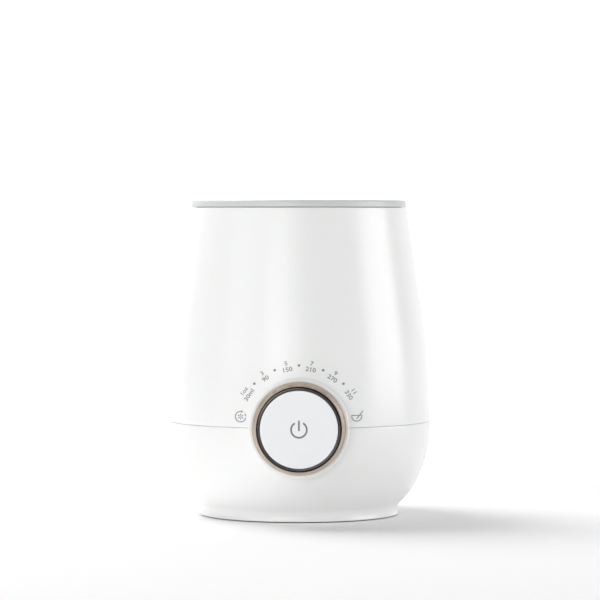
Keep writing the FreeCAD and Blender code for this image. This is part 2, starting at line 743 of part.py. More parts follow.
def strap_level():
    """Height of the posts that carry the cord clamp."""
    return s.inlet_height + s.cord_bore


def strap_loops(radius):
    """Round loops at the two screws of the cord clamp."""
    half = s.strap_pitch / 2
    return [circle(-half, s.strap_place, radius), circle(half, s.strap_place, radius)]


def make_upper_shell():
    """Bell-shaped upper housing with its ledge, bosses and half collar."""
    rabbet = s.belly_radius - s.wall + s.tongue_wall + s.tongue_play
    rabbet_top = s.seam_height + s.tongue_rise + s.tongue_play
    ledge_bottom = ledge_top - s.ledge_plate
    boss_x, boss_rise = polar(bracket_ear_circle, s.bracket_ear_angle)
    boss_end = other_side(bend_inside(s.seam_height + boss_rise), boss_x - s.boss_radius)
    bosses = circles(bracket_ears, bracket_ear_circle, s.boss_radius)
    pilots = circles(bracket_ears, bracket_ear_circle, s.small_hole)
    piece = Piece("upper_shell")
    piece.turned(outline(
        (s.belly_radius, s.seam_height, s.flank_bend),
        (flank_start, flank_level),
        (flank_radius(shell_top), shell_top),
        (flank_inside(shell_top), shell_top),
        (flank_middle + (s.flank_bend - s.wall) * cosine(s.flank_lean),
         s.seam_height + (s.flank_bend - s.wall) * sine(s.flank_lean), s.wall - s.flank_bend),
        (bend_inside(rabbet_top), rabbet_top),
        (rabbet, rabbet_top),
        (rabbet, s.seam_height)))
    piece.turned(block(ledge_inner, ledge_bottom, flank_inside(ledge_bottom) + s.wall / 2,
                       ledge_top))
    piece.half_collar(collar_outline(), MIRRORED)
    piece.cut_ahead(bracket_front, ring_back, circle(0, 0, s.collar_bore))
    piece.ahead(bracket_front, boss_end, *bosses)
    piece.cut_ahead(bracket_front, bracket_front + s.small_depth - s.bracket_plate, *pilots)


def make_rim_ring():
    """Moulded ring that closes the gap between housing and well."""
    bottom = shell_top + s.rim_gap
    top = s.body_height
    outside = flank_radius(bottom)
    shoulder = flank_radius(top - s.rim_round)
    skirt_out = flank_inside(shell_top) - s.rim_play
    crest_inner = shoulder - s.rim_round - s.rim_land
    mouth = s.well_radius + s.mouth_step
    dip = top - s.rim_dip
    lip_round = s.rim_web + s.rim_round / 2
    Piece("rim_ring").turned(outline(
        (skirt_out - s.rim_web, rim_bottom),
        (skirt_out, rim_bottom),
        (skirt_out, bottom),
        (outside, bottom),
        (shoulder, top - s.rim_round, s.rim_round),
        (shoulder - s.rim_round, top),
        (crest_inner, top),
        (mouth + lip_round, dip, lip_round),
        (mouth, dip - lip_round),
        (mouth, rim_bottom),
        (mouth + s.rim_web, rim_bottom),
        (mouth + s.rim_web, dip - lip_round),
        (skirt_out - s.rim_web, top - s.rim_dip / 2 - s.rim_web)))


# ---------------------------------------------------------------- well and heater

def make_well_liner():
    """Water well: a deep tube with a bottom lip, a top flange and four screw ears."""
    piece = Piece("well_liner")
    piece.turned(outline(
        (lip_radius, s.well_floor),
        (well_outside, s.well_floor),
        (well_outside, ledge_seal_top),
        (well_flange_radius, ledge_seal_top),
        (well_flange_radius, well_top),
        (s.well_radius, well_top),
        (s.well_radius, s.well_floor + s.well_lip + s.well_round, -s.well_round),
        (s.well_radius - s.well_round, s.well_floor + s.well_lip),
        (lip_radius, s.well_floor + s.well_lip)))
    piece.raised(plate_bottom, plate_bottom + s.ear_height,
                 *circles(QUARTERS, ear_circle, s.ear_radius))
    piece.sunk(plate_bottom, plate_bottom + s.stack_screw_depth + s.seat_gap,
               *circles(QUARTERS, ear_circle, s.screw_hole))


def make_seals():
    """Rubber rings above the ledge and under the well's bottom lip."""
    Piece("ledge_seal").turned(block(ledge_inner, ledge_top,
                                     well_flange_radius - s.seat_gap, ledge_seal_top))
    Piece("well_seal").turned(block(lip_radius, plate_top,
                                    heater_radius - s.seal_inset, s.well_floor))


def make_heater_plate():
    """Cast plate with a raised middle and three ribs that the bottle stands on."""
    plateau = lip_radius - s.heater_step_gap
    ribs = [spoke(s.rest_rib_inner, plateau - s.rest_rib_inset, s.rest_rib_width, angle)
            for angle in THIRDS]
    piece = Piece("heater_plate")
    piece.turned(outline((0, plate_bottom), (heater_radius, plate_bottom),
                         (heater_radius, plate_top), (plateau, plate_top),
                         (plateau, plateau_top), (0, plateau_top)))
    piece.raised(plateau_top, plateau_top + s.rest_rib_height, *ribs)


def make_heating_element():
    """Sheathed heating tube under the plate, with its two cold pins."""
    ends = [0, -s.element_sweep]
    tube = Piece("heating_element")
    tube.turned(circle(element_radius, element_level, s.element_tube),
                sweep=s.element_sweep)
    tube.raised(element_end, plate_bottom - s.seat_gap,
                *circles(ends, element_radius, s.element_sleeve))
    Piece("element_pins").raised(element_end - s.pin_length, element_end,
                                 *circles(ends, element_radius, s.pin_radius))


def make_clamp_ring():
    """Steel ring that presses the heater plate against its seal."""
    piece = Piece("clamp_ring")
    piece.raised(clamp_bottom, plate_bottom, circle(0, 0, clamp_outer))
    piece.raised(clamp_bottom, plate_bottom, *circles(QUARTERS, ear_circle, s.ear_radius))
    piece.sunk(clamp_bottom, plate_bottom, circle(0, 0, clamp_inner),
               *circles(QUARTERS, ear_circle, s.screw_hole))


def make_sensors():
    """Thermostat, temperature sensor and thermal fuse, held up by a spring strip."""
    bottom = plate_bottom - s.thermostat_height
    Piece("thermostat").raised(bottom, plate_bottom, circle(0, 0, s.thermostat_radius))
    Piece("temperature_sensor").raised(bottom, plate_bottom,
                                       circle(-sensor_place, 0, s.sensor_radius))
    fuse = Piece("thermal_fuse")
    fuse.ahead(-s.fuse_length / 2, s.fuse_length / 2,
               circle(sensor_place, plate_bottom - s.fuse_radius - s.seam_height,
                      s.fuse_radius))
    left = clip_end(sensor_place + s.sensor_radius, element_radius - s.element_tube)
    right = clip_end(s.thermostat_radius, sensor_place - s.fuse_radius)
    half = s.clip_width / 2
    clip = Piece("sensor_clip")
    clip.raised(bottom - s.clip_plate, bottom, block(-left, -half, right, half))
    clip.raised(bottom, plate_bottom, block(-left, -half, s.clip_plate - left, half),
                block(right - s.clip_plate, -half, right, half))


def clip_end(near, far):
    """End of the spring strip beyond one part, at most midway to the next one."""
    return lesser(near + s.fuse_radius, (near + s.clip_plate + far) / 2)


def make_chassis():
    """Plastic ring on four legs that carries the well and joins it to the floor."""
    ears = circles(QUARTERS, ear_circle, s.ear_radius)
    piece = Piece("chassis")
    piece.raised(chassis_bottom, chassis_top, circle(0, 0, chassis_outer))
    piece.raised(chassis_bottom, clamp_bottom, *ears)
    piece.sunk(chassis_bottom, chassis_top, circle(0, 0, chassis_inner))
    piece.raised(floor_top, chassis_top, *circles(LEGS, leg_circle, s.leg_radius))
    piece.sunk(chassis_bottom, clamp_bottom, *circles(QUARTERS, ear_circle, s.screw_hole))
    piece.sunk(floor_top, floor_top + s.leg_screw_depth + s.seat_gap,
               *circles(LEGS, leg_circle, s.screw_hole))


def make_large_screws():
    """Screws of the well stack, and screws that hold the base plate and chassis."""
    shanks = circles(QUARTERS, ear_circle, s.screw_shank)
    heads = circles(QUARTERS, ear_circle, s.screw_head)
    stack = Piece("chassis_screws")
    stack.raised(chassis_bottom - s.screw_head_height, chassis_bottom, *heads)
    stack.raised(chassis_bottom, plate_bottom + s.stack_screw_depth, *shanks)
    base = Piece("base_screws")
    base.raised(sunk_head_bottom, sunk_head_top,
                *circles(LEGS, leg_circle, s.screw_head))
    base.raised(sunk_head_top, floor_top + s.leg_screw_depth,
                *circles(LEGS, leg_circle, s.screw_shank))


# ---------------------------------------------------------------- base

def make_base():
    """Base plate with vents, sunk screw holes and a groove for the rubber foot."""
    vents = circles([index * 360 / int(s.vent_count.value)
                     for index in range(int(s.vent_count.value))],
                    s.vent_circle, s.vent_radius)
    head_room = circles(LEGS, leg_circle, s.screw_head + s.base_head_room)
    piece = Piece("base_plate")
    piece.raised(base_bottom, base_top, circle(0, 0, base_radius))
    piece.sunk(base_bottom, base_top, *vents, *circles(LEGS, leg_circle, s.screw_hole))
    piece.sunk(base_bottom, sunk_head_top, *head_room)
    piece.turned(block(foot_inner - s.foot_play, base_bottom, foot_outer + s.foot_play,
                       s.foot_height), cut=True)
    Piece("foot_ring").turned(block(foot_inner, 0, foot_outer, s.foot_height))


# ---------------------------------------------------------------- power board

def make_power_board():
    """Power board on the posts of the lower housing, with its screws."""
    board = Piece("power_board")
    board.raised(s.board_level, board_top, centred(0, 0, s.board_length, s.board_width))
    board.sunk(s.board_level, board_top, *(circle(x, y, s.small_hole)
                                           for x, y in board_screws))
    screws = Piece("board_screws")
    screws.raised(board_top, board_top + s.small_head_height,
                  *(circle(x, y, s.small_head) for x, y in board_screws))
    screws.raised(s.board_level - s.small_depth, board_top,
                  *(circle(x, y, s.small_shank) for x, y in board_screws))


def make_board_parts():
    """Relay, transformer, capacitors and terminal block on the power board."""
    Piece("relay").raised(board_top, board_top + s.relay_height,
                          centred(-s.relay_place, 0, s.relay_length, s.relay_width))
    Piece("transformer").raised(board_top, board_top + s.transformer_height,
                                centred(0, -s.board_inset / 2, s.transformer_length,
                                        s.transformer_width))
    half_pitch = s.capacitor_pitch / 2
    Piece("capacitors").raised(board_top, board_top + s.capacitor_height,
                               circle(s.capacitor_place, -half_pitch, s.capacitor_radius),
                               circle(s.capacitor_place, half_pitch, s.capacitor_radius))
    terminal_y = s.board_width / 2 - s.board_inset - s.terminal_width / 2
    Piece("terminal_block").raised(board_top, board_top + s.terminal_height,
                                   centred(0, terminal_y, s.terminal_length,
                                           s.terminal_width))


def make_cord_inlet():
    """Cord gland locked in the inlet boss, and the clamp strap behind it."""
    level = s.inlet_height - s.seam_height
    inner_end = s.inlet_depth - inlet_land
    gland = Piece("cord_gland")
    gland.ahead(-inlet_land - s.gland_flange, -inlet_land,
                circle(0, level, s.gland_flange_radius), circle(0, level, s.cord_bore))
    gland.ahead(-inlet_land, inner_end + s.gland_lip_length,
                circle(0, level, s.gland_neck), circle(0, level, s.cord_bore))
    gland.ahead(inner_end, inner_end + s.gland_lip_length,
                circle(0, level, s.gland_lip), circle(0, level, s.cord_bore))
    strap_top = strap_level() + s.strap_height
    strap = Piece("cord_clamp")
    strap.raised(strap_level(), strap_top,
                 centred(0, s.strap_place, s.strap_pitch + s.strap_width, s.strap_width))
    strap.sunk(strap_level(), strap_top, *strap_loops(s.small_hole))
    screws = Piece("clamp_screws")
    screws.raised(strap_top, strap_top + s.small_head_height, *strap_loops(s.small_head))
    screws.raised(strap_level() - s.small_depth, strap_top, *strap_loops(s.small_shank))


# ---------------------------------------------------------------- dial carrier

def make_dial_bracket():
    """Flat ring behind the dial, screwed to the upper housing, with stops."""
    ears = circles(bracket_ears, bracket_ear_circle, s.boss_radius)
    ear_holes = circles(bracket_ears, bracket_ear_circle, s.small_hole)
    posts = circles(THIRDS, standoff_circle, s.standoff_radius)
    stop_start = s.dial_reach + s.tab_angle + s.stop_play
    stop_inner = dial_flange_radius + s.run_gap
    stop_outer = dial_flange_radius + s.tab_reach
    stops = [sector(stop_inner, stop_outer, -90 + stop_start,
                    -90 + stop_start + s.stop_angle),
             sector(stop_inner, stop_outer, -90 - stop_start - s.stop_angle,
                    -90 - stop_start)]
    piece = Piece("dial_bracket")
    piece.ahead(bracket_back, bracket_front, circle(0, 0, bracket_outer))
    piece.ahead(bracket_back, bracket_front, *ears)
    piece.cut_ahead(bracket_back, bracket_front, circle(0, 0, bracket_bore), *ear_holes)
    piece.ahead(dial_board_front, bracket_back, *posts)
    piece.cut_ahead(dial_board_front, bracket_front - s.seat_gap,
                    *circles(THIRDS, standoff_circle, s.small_hole))
    piece.ahead(bracket_front, dial_flange_back + s.tab_plate, *stops)
    screws = Piece("bracket_screws")
    screws.ahead(bracket_back - s.small_head_height, bracket_back,
                 *circles(bracket_ears, bracket_ear_circle, s.small_head))
    screws.ahead(bracket_back, bracket_front + s.small_depth - s.bracket_plate - s.seat_gap,
                 *circles(bracket_ears, bracket_ear_circle, s.small_shank))


def make_detent_spring():
    """Leaf spring on the bracket whose nose clicks into the dial's scallops."""
    inner = dial_flange_radius + s.run_gap
    outer = dial_flange_radius + s.tab_reach
    Piece("detent_spring").ahead(bracket_front, dial_flange_front - s.tab_plate,
                                 sector(inner, outer, 90 - s.detent_step,
                                        90 + s.detent_step))


def make_dial_board():
    """Round circuit board with its screws, light chips and push switch."""
    thirds_holes = circles(THIRDS, standoff_circle, s.small_hole)
    hub_holes = circles(THIRDS, s.hub_screw_circle, s.small_hole)
    leds = int(s.led_count.value)
    board = Piece("dial_board")
    board.ahead(dial_board_back, dial_board_front, circle(0, 0, dial_board_radius),
                *thirds_holes, *hub_holes)
    screws = Piece("dial_board_screws")
    screws.ahead(dial_board_back - s.small_head_height, dial_board_back,
                 *circles(THIRDS, standoff_circle, s.small_head))
    screws.ahead(dial_board_back, bracket_front - s.seat_gap * 2,
                 *circles(THIRDS, standoff_circle, s.small_shank))
    Piece("light_chips").ahead(dial_board_front, dial_board_front + s.led_height,
                               *circles([index * 360 / leds for index in range(leds)],
                                        led_circle, s.led_size))
    switch = Piece("push_switch")
    switch.ahead(dial_board_front, switch_front, centred(0, 0, s.switch_size, s.switch_size))
    switch.cut_ahead(dial_board_front + s.socket_floor, switch_front,
                     circle(0, 0, s.plunger_radius + s.plunger_play))


def make_button_hub():
    """Fixed hub inside the dial: it guides the button and carries the light guide."""
    piece = Piece("button_hub")
    piece.ahead(hub_back, hub_front, circle(0, 0, guide_inner), circle(0, 0, s.hub_hole))
    piece.ahead(hub_front, hub_end, circle(0, 0, hub_outer), circle(0, 0, hub_inner))
    piece.ahead(hub_lip_back, hub_end, circle(0, 0, hub_outer + s.hub_lip),
                circle(0, 0, hub_inner))
    piece.ahead(dial_board_front, hub_back,
                *circles(THIRDS, s.hub_screw_circle, s.standoff_radius))
    piece.cut_ahead(dial_board_front, hub_front - s.seat_gap,
                    *circles(THIRDS, s.hub_screw_circle, s.small_hole))
    screws = Piece("hub_screws")
    screws.ahead(dial_board_back - s.small_head_height, dial_board_back,
                 *circles(THIRDS, s.hub_screw_circle, s.small_head))
    screws.ahead(dial_board_back, hub_front - s.seat_gap * 2,
                 *circles(THIRDS, s.hub_screw_circle, s.small_shank))


def make_light_guide():
    """Smoked clear tube that carries the light to the gap round the button."""
    back = dial_board_front + s.led_height + s.plunger_play
    front = ring_front - s.guide_front
    piece = Piece("light_guide")
    piece.turned_on_dial(block(back, guide_inner, front, guide_outer))
    piece.turned_on_dial(block(hub_front, guide_inner - s.guide_lip,
                               hub_front + s.guide_lip_length, guide_inner))


def make_ribbon_cable():
    """Flat cable from the dial board down to the power board."""
    half = s.ribbon_width / 2
    ahead_low = s.board_width / 2
    drop_top = s.seam_height - s.ribbon_drop
    turn_level = board_top + s.capacitor_radius
    piece = Piece("ribbon_cable")
    piece.pad("YZ_Plane", (0, 0, -half), s.ribbon_width, [outline(
        (-ribbon_ahead, drop_top),
        (-ribbon_ahead, turn_level),
        (s.board_inset / 2 - ahead_low, board_top),
        (s.board_inset / 2 - ahead_low + s.ribbon_plate, board_top),
        (s.ribbon_plate - ribbon_ahead, turn_level + s.ribbon_plate / 2),
        (s.ribbon_plate - ribbon_ahead, drop_top))])
    piece.pad("YZ_Plane", (0, 0, -half), s.ribbon_width, [
        block(-dial_board_back, drop_top, s.ribbon_plate - ribbon_ahead,
              drop_top + s.ribbon_plate)])


# ---------------------------------------------------------------- what turns

def make_knob_ring():
    """Metal ring round the button: a cone with a pointer notch at the top."""
    front_radius = ring_inner + s.ring_edge
    piece = Piece("knob_ring")
    piece.turned_on_dial(outline((ring_back, ring_inner),
                                 (ring_front, ring_inner),
                                 (ring_front, front_radius),
                                 (ring_back + s.ring_band, ring_outer),
                                 (ring_back, ring_outer)))
    piece.cut_ahead(ring_front - s.notch_radius, ring_front,
                    circle(0, ring_inner + s.ring_edge / 2, s.notch_radius))


def make_dial_rotor():
    """Plastic sleeve behind the ring, with a flange, scallops and a stop tab."""
    scallops = int(s.scallop_count.value)
    first = 90 - s.detent_step * ((scallops - 1) / 2)
    edges = [first + s.detent_step * index for index in range(scallops)]
    tab_start = dial_flange_radius - s.tab_reach
    piece = Piece("dial_rotor")
    piece.ahead(dial_flange_back, ring_back, circle(0, 0, sleeve_outer),
                circle(0, 0, ring_inner))
    piece.ahead(dial_flange_back, dial_flange_front, circle(0, 0, dial_flange_radius),
                circle(0, 0, ring_inner))
    piece.cut_ahead(dial_flange_back, dial_flange_front,
                    *circles(edges, dial_flange_radius, s.scallop_radius))
    piece.ahead(dial_flange_back, dial_flange_back + s.tab_plate,
                sector(tab_start, dial_flange_radius + s.tab_reach,
                       -90 - s.tab_angle, -90 + s.tab_angle))
    piece.ahead(dial_flange_back - s.skirt_length, dial_flange_back,
                circle(0, 0, skirt_outer), circle(0, 0, skirt_inner))


def make_contact_wiper():
    """Sprung contact ring behind the dial's skirt that reads its position."""
    back = dial_flange_back - s.skirt_length
    Piece("contact_wiper").ahead(back - s.ribbon_plate, back,
                                 circle(0, 0, skirt_outer - s.seat_gap),
                                 circle(0, 0, skirt_inner + s.seat_gap))


# ---------------------------------------------------------------- what is pressed

def make_button():
    """Push button cap with its snap skirt and stem, and the switch plunger."""
    cap = Piece("button_cap")
    cap.turned_on_dial(outline((plunger_front, 0),
                               (button_front, 0),
                               (button_front, button_radius - s.button_round,
                                s.button_round),
                               (button_front - s.button_round, button_radius),
                               (button_lip_back, button_radius),
                               (button_lip_back, button_lip_radius),
                               (button_lip_front, button_lip_radius),
                               (button_lip_front, button_skirt_inner),
                               (button_back, button_skirt_inner),
                               (button_back, s.button_stem),
                               (plunger_front, s.button_stem)))
    Piece("switch_plunger").ahead(plunger_back, plunger_front,
                                  circle(0, 0, s.plunger_radius))


# ---------------------------------------------------------------- build and write

def check_document():
    """Refuses a document with a failed object, an unsound shape or an idle cut."""
    doc.recompute()
    for item in doc.Objects:
        if "Invalid" in item.State or "Error" in item.State:
            raise RuntimeError(f"{item.Name} failed: {item.State}")
        if item.TypeId in ("PartDesign::Pocket", "PartDesign::Groove"):
            if item.BaseFeature.Shape.Volume - item.Shape.Volume < 0.01:
                raise RuntimeError(f"{item.Name} cuts nothing")
    for body in bodies:
        if body.Shape.isNull() or not body.Shape.isValid():
            raise RuntimeError(f"{body.Label} has no sound shape")


def write_parts():
    """Writes each piece to its own STEP file."""
    os.makedirs("parts", exist_ok=True)
    for body in bodies:
        body.Shape.exportStep(f"parts/{body.Label}.step")


make_lower_shell()
make_upper_shell()
make_rim_ring()
make_well_liner()
make_seals()
make_heater_plate()
make_heating_element()
make_clamp_ring()
make_sensors()
make_chassis()
make_large_screws()
make_base()
make_power_board()
make_board_parts()
make_cord_inlet()
make_dial_bracket()
make_detent_spring()
make_dial_board()
make_button_hub()
make_light_guide()
make_ribbon_cable()
make_knob_ring()
make_dial_rotor()
make_contact_wiper()
make_button()
check_document()
write_parts()
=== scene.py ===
import bmesh
import bpy
import math
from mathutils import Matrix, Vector


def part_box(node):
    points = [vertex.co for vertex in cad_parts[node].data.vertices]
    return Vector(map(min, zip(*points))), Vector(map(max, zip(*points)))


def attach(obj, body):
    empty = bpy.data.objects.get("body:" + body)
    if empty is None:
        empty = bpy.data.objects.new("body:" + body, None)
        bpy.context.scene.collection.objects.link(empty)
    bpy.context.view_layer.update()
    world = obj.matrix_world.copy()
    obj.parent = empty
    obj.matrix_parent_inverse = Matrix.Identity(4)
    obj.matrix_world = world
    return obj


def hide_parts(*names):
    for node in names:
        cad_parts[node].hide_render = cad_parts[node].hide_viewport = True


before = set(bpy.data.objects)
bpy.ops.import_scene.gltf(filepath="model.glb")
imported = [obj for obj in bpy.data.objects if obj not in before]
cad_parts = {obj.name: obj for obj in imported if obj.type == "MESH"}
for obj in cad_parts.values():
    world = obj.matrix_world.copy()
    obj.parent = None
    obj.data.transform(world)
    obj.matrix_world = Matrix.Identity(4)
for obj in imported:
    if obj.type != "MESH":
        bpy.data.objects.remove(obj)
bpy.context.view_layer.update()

# ---- Viewpoint -------------------------------------------------------------------
# A long portrait lens a metre and a half in front of the dial, level with the rim
# and tipped down a little, so that the sides stay upright.
MM = 0.001
camera_data = bpy.data.cameras.new("camera")
camera_data.sensor_width = 36.0
camera_data.lens = 189.8
camera_data.clip_end = 20.0
camera = bpy.data.objects.new("camera", camera_data)
camera.location = (0.5 * MM, -1543 * MM, 145.2 * MM)
camera.rotation_euler = (math.radians(90 - 1.51), 0, 0)
bpy.context.collection.objects.link(camera)
bpy.context.scene.camera = camera

# ---- Table top and backdrop ------------------------------------------------------
# A sheet of matt white paper that lies on the table and curves up behind, as a
# product photographer hangs it, so that the ground has no edge.


def linear(hex_code):
    """Linear RGBA of an sRGB hex colour."""
    channels = [int(hex_code[index:index + 2], 16) / 255 for index in (1, 3, 5)]
    return tuple(c / 12.92 if c <= 0.04045 else ((c + 0.055) / 1.055) ** 2.4
                 for c in channels) + (1.0,)


def add_node(tree, kind, inputs, **settings):
    """Adds a node with its settings. Each input is a value, or the socket it follows."""
    node = tree.nodes.new(kind)
    for name, value in settings.items():
        setattr(node, name, value)
    for name, value in inputs.items():
        if isinstance(value, bpy.types.NodeSocket):
            tree.links.new(value, node.inputs[name])
        else:
            node.inputs[name].default_value = value
    return node


def new_material(name):
    """An empty node material and its tree."""
    material = bpy.data.materials.new(name)
    material.use_nodes = True
    material.node_tree.nodes.clear()
    return material, material.node_tree


def mesh_object(name, points, faces):
    """A mesh object made from points in metres."""
    mesh = bpy.data.meshes.new(name)
    mesh.from_pydata([tuple(point) for point in points], [], faces)
    mesh.validate()
    obj = bpy.data.objects.new(name, mesh)
    bpy.context.collection.objects.link(obj)
    return obj


def paper_sweep():
    """The sheet's section run sideways: flat, a quarter round, then upright."""
    half_width, near, bend_start, bend = 4.0, -2.6, 1.6, 0.9
    section = [(near, 0.0), (bend_start, 0.0)]
    for step in range(1, 25):
        turn = math.radians(90 * step / 24)
        section.append((bend_start + bend * math.sin(turn), bend * (1 - math.cos(turn))))
    section.append((bend_start + bend, 4.0))
    points = [(side * half_width, y, z) for y, z in section for side in (-1, 1)]
    faces = [(2 * i, 2 * i + 1, 2 * i + 3, 2 * i + 2) for i in range(len(section) - 1)]
    return mesh_object("paper_sweep", points, faces)


def matt_paper():
    """Matt coated paper: even white, with a faint tooth that spreads the light. It has a
    painted glow that grows towards the back, standing in for lamps on the backdrop."""
    material, tree = new_material("matt_paper")
    place = add_node(tree, "ShaderNodeTexCoord", {})
    tooth = add_node(tree, "ShaderNodeTexNoise", {
        "Vector": place.outputs["Object"], "Scale": 1 / (1.5 * MM), "Detail": 3.0})
    relief = add_node(tree, "ShaderNodeBump", {
        "Height": tooth.outputs["Fac"], "Strength": 0.05, "Distance": 0.02 * MM})
    split = add_node(tree, "ShaderNodeSeparateXYZ", {"Vector": place.outputs["Object"]})
    # Painted glow: the paper emits light, none at the front and most at the back.
    painted_backdrop_glow = add_node(tree, "ShaderNodeMapRange", {
        "Value": split.outputs["Y"], "From Min": 0.15, "From Max": 1.4,
        "To Min": 0.0, "To Max": 0.62})
    shader = add_node(tree, "ShaderNodeBsdfPrincipled", {
        "Base Color": linear("#fbfbfb"), "Roughness": 0.95, "Specular IOR Level": 0.1,
        "Emission Color": linear("#ffffff"), "Emission Strength": painted_backdrop_glow.outputs["Result"],
        "Normal": relief.outputs["Normal"]})
    add_node(tree, "ShaderNodeOutputMaterial", {"Surface": shader.outputs["BSDF"]})
    return material


floor = paper_sweep()
floor.data.polygons.foreach_set("use_smooth", [True] * len(floor.data.polygons))
floor.data.materials.append(matt_paper())

# ---- Studio light ----------------------------------------------------------------
# A wide upright soft box on the left, a narrower one straight from the right, a low one
# beside the camera and one above and behind that whitens the table, in a pale room.


def soft_box(name, place, target, size, watts):
    """A rectangular lamp that faces a target."""
    data = bpy.data.lights.new(name, "AREA")
    data.shape = "RECTANGLE"
    data.size, data.size_y = size
    data.energy = watts
    lamp = bpy.data.objects.new(name, data)
    lamp.location = place
    lamp.rotation_euler = (Vector(target) - Vector(place)).to_track_quat("-Z", "Y").to_euler()
    bpy.context.collection.objects.link(lamp)


soft_box("soft_box_left", (-0.87, -1.03, 0.57), (0, 0, 0.45), (1.5, 1.0), 7.0)
soft_box("soft_box_right", (1.15, -0.12, 0.34), (0, 0, 0.30), (0.8, 0.6), 5.4)
soft_box("soft_box_front", (-0.45, -1.80, 0.36), (0, 0, 0.20), (1.0, 0.6), 5.2)
soft_box("soft_box_top", (-0.60, 0.45, 1.25), (0, 0, 0), (0.8, 0.8), 13.5)

world = bpy.data.worlds.new("white_room")
world.use_nodes = True
world.node_tree.nodes.clear()
room = add_node(world.node_tree, "ShaderNodeBackground",
                {"Color": linear("#ffffff"), "Strength": 0.20})
add_node(world.node_tree, "ShaderNodeOutputWorld", {"Surface": room.outputs["Background"]})
bpy.context.scene.world = world
bpy.context.scene.view_settings.view_transform = "Standard"

# ---- Housing ---------------------------------------------------------------------
# Two injection-moulded ABS shells with a spark-eroded satin skin: a bell above the
# seam and a bowl below it. Each carries half of the raised collar round the dial.
# They lock with a tongue at the seam and leave a hairline groove outside.
upper_low, upper_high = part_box("upper_shell")
BELLY = upper_high.x
SEAM = upper_low.z
SHELL_TOP = upper_high.z
SHELL_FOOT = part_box("lower_shell")[0].z
WALL = 2.2 * MM
TONGUE = 0.95 * MM
FLANK_BEND = 336 * MM      # the flank bows to this radius and then rises straight,
FLANK_LEAN = math.radians(8.45)     # leaning in by this angle
BOWL_TURN = math.radians(27)        # where the bowl's bend passes into the heel's
HEEL_BEND = 34 * MM
HEEL_TURN = math.radians(48)        # where the heel's passes into the waist's
ANKLE = 6.2 * MM           # height of that last place
WAIST_BEND = 4.6 * MM
SEAM_GAP = 0.07 * MM
SEAM_ROUND = 0.18 * MM
TOP_ROUND = 0.5 * MM
COLLAR_BORE = 21.35 * MM
COLLAR_OUTER = 23.7 * MM
COLLAR_FRONT = -upper_low.y
COLLAR_BACK = COLLAR_FRONT - 8.9 * MM
COLLAR_ROUND = 0.8 * MM
FLOOR_RING = (30 * MM, 3.2 * MM, 5.4 * MM)      # inner radius, underside, top


def arc(middle_point, radius, first, last, steps):
    """Points along an arc, with angles in radians."""
    return [(middle_point[0] + radius * math.cos(first + (last - first) * i / steps),
             middle_point[1] + radius * math.sin(first + (last - first) * i / steps))
            for i in range(steps + 1)]


def between(first, last, steps):
    """Points that divide a straight line, without its last point."""
    return [(first[0] + (last[0] - first[0]) * i / steps,
             first[1] + (last[1] - first[1]) * i / steps) for i in range(steps)]


def lathe(name, outline, segments=240, along="Z", level=0.0):
    """A closed outline of (radius, place on the axis) turned into a solid ring."""
    count = len(outline)
    points = []
    for turn in range(segments):
        angle = 2 * math.pi * turn / segments
        for radius, place in outline:
            if along == "Z":
                points.append((radius * math.cos(angle), radius * math.sin(angle), place))
            else:
                points.append((radius * math.sin(angle), -place,
                               level + radius * math.cos(angle)))
    faces = []
    for turn in range(segments):
        here, there = turn * count, ((turn + 1) % segments) * count
        for i in range(count):
            j = (i + 1) % count
            faces.append((here + i, there + i, there + j, here + j))
    obj = mesh_object(name, points, faces)
    face_outwards(obj)
    return obj


def face_outwards(obj):
    """Welds doubled points and turns every face outwards."""
    work = bmesh.new()
    work.from_mesh(obj.data)
    bmesh.ops.remove_doubles(work, verts=work.verts, dist=0.002 * MM)
    bmesh.ops.recalc_face_normals(work, faces=work.faces)
    work.to_mesh(obj.data)
    work.free()


def smooth(obj, crease=32):
    """Smooth shading, with edges sharper than the crease angle left crisp."""
    obj.data.polygons.foreach_set("use_smooth", [True] * len(obj.data.polygons))
    obj.data.set_sharp_from_angle(angle=math.radians(crease))


def combine(obj, *tools):
    """Joins or cuts with each (operation, object) in turn and removes the tools."""
    for operation, tool in tools:
        step = obj.modifiers.new("step", "BOOLEAN")
        step.operation = operation
        step.solver = "EXACT"
        step.object = tool
    graph = bpy.context.evaluated_depsgraph_get()
    result = bpy.data.meshes.new_from_object(obj.evaluated_get(graph))
    obj.modifiers.clear()
    obj.data = result
    for _, tool in tools:
        bpy.data.objects.remove(tool)


def slab(name, low, high):
    """A plain block to cut with."""
    corners = [(x, y, z) for x in (low[0], high[0]) for y in (low[1], high[1])
               for z in (low[2], high[2])]
    faces = [(0, 1, 3, 2), (4, 6, 7, 5), (0, 4, 5, 1), (2, 3, 7, 6), (0, 2, 6, 4), (1, 5, 7, 3)]
    obj = mesh_object(name, corners, faces)
    face_outwards(obj)
    return obj


def rod(name, radius, back, front, level):
    """A round bar along the dial's axis to cut with, closed at both ends."""
    count = 192
    points = []
    for ahead in (back, front):
        for turn in range(count):
            angle = 2 * math.pi * turn / count
            points.append((radius * math.sin(angle), -ahead,
                           level + radius * math.cos(angle)))
    faces = [(i, (i + 1) % count, count + (i + 1) % count, count + i) for i in range(count)]
    faces += [tuple(range(count)), tuple(range(count, 2 * count))]
    obj = mesh_object(name, points, faces)
    face_outwards(obj)
    return obj


def flank_outline(offset, low, steps):
    """The flank's outline at an offset inwards, from a height near the seam upwards."""
    centre = (BELLY - FLANK_BEND, SEAM)
    radius = FLANK_BEND - offset
    start = math.asin((low - SEAM) / radius)
    bend = arc(centre, radius, start, FLANK_LEAN, steps)
    end = bend[-1]
    rise = SHELL_TOP - end[1]
    return bend[:-1] + between(end, (end[0] - rise * math.tan(FLANK_LEAN), SHELL_TOP), 14) + [
        (end[0] - rise * math.tan(FLANK_LEAN), SHELL_TOP)]


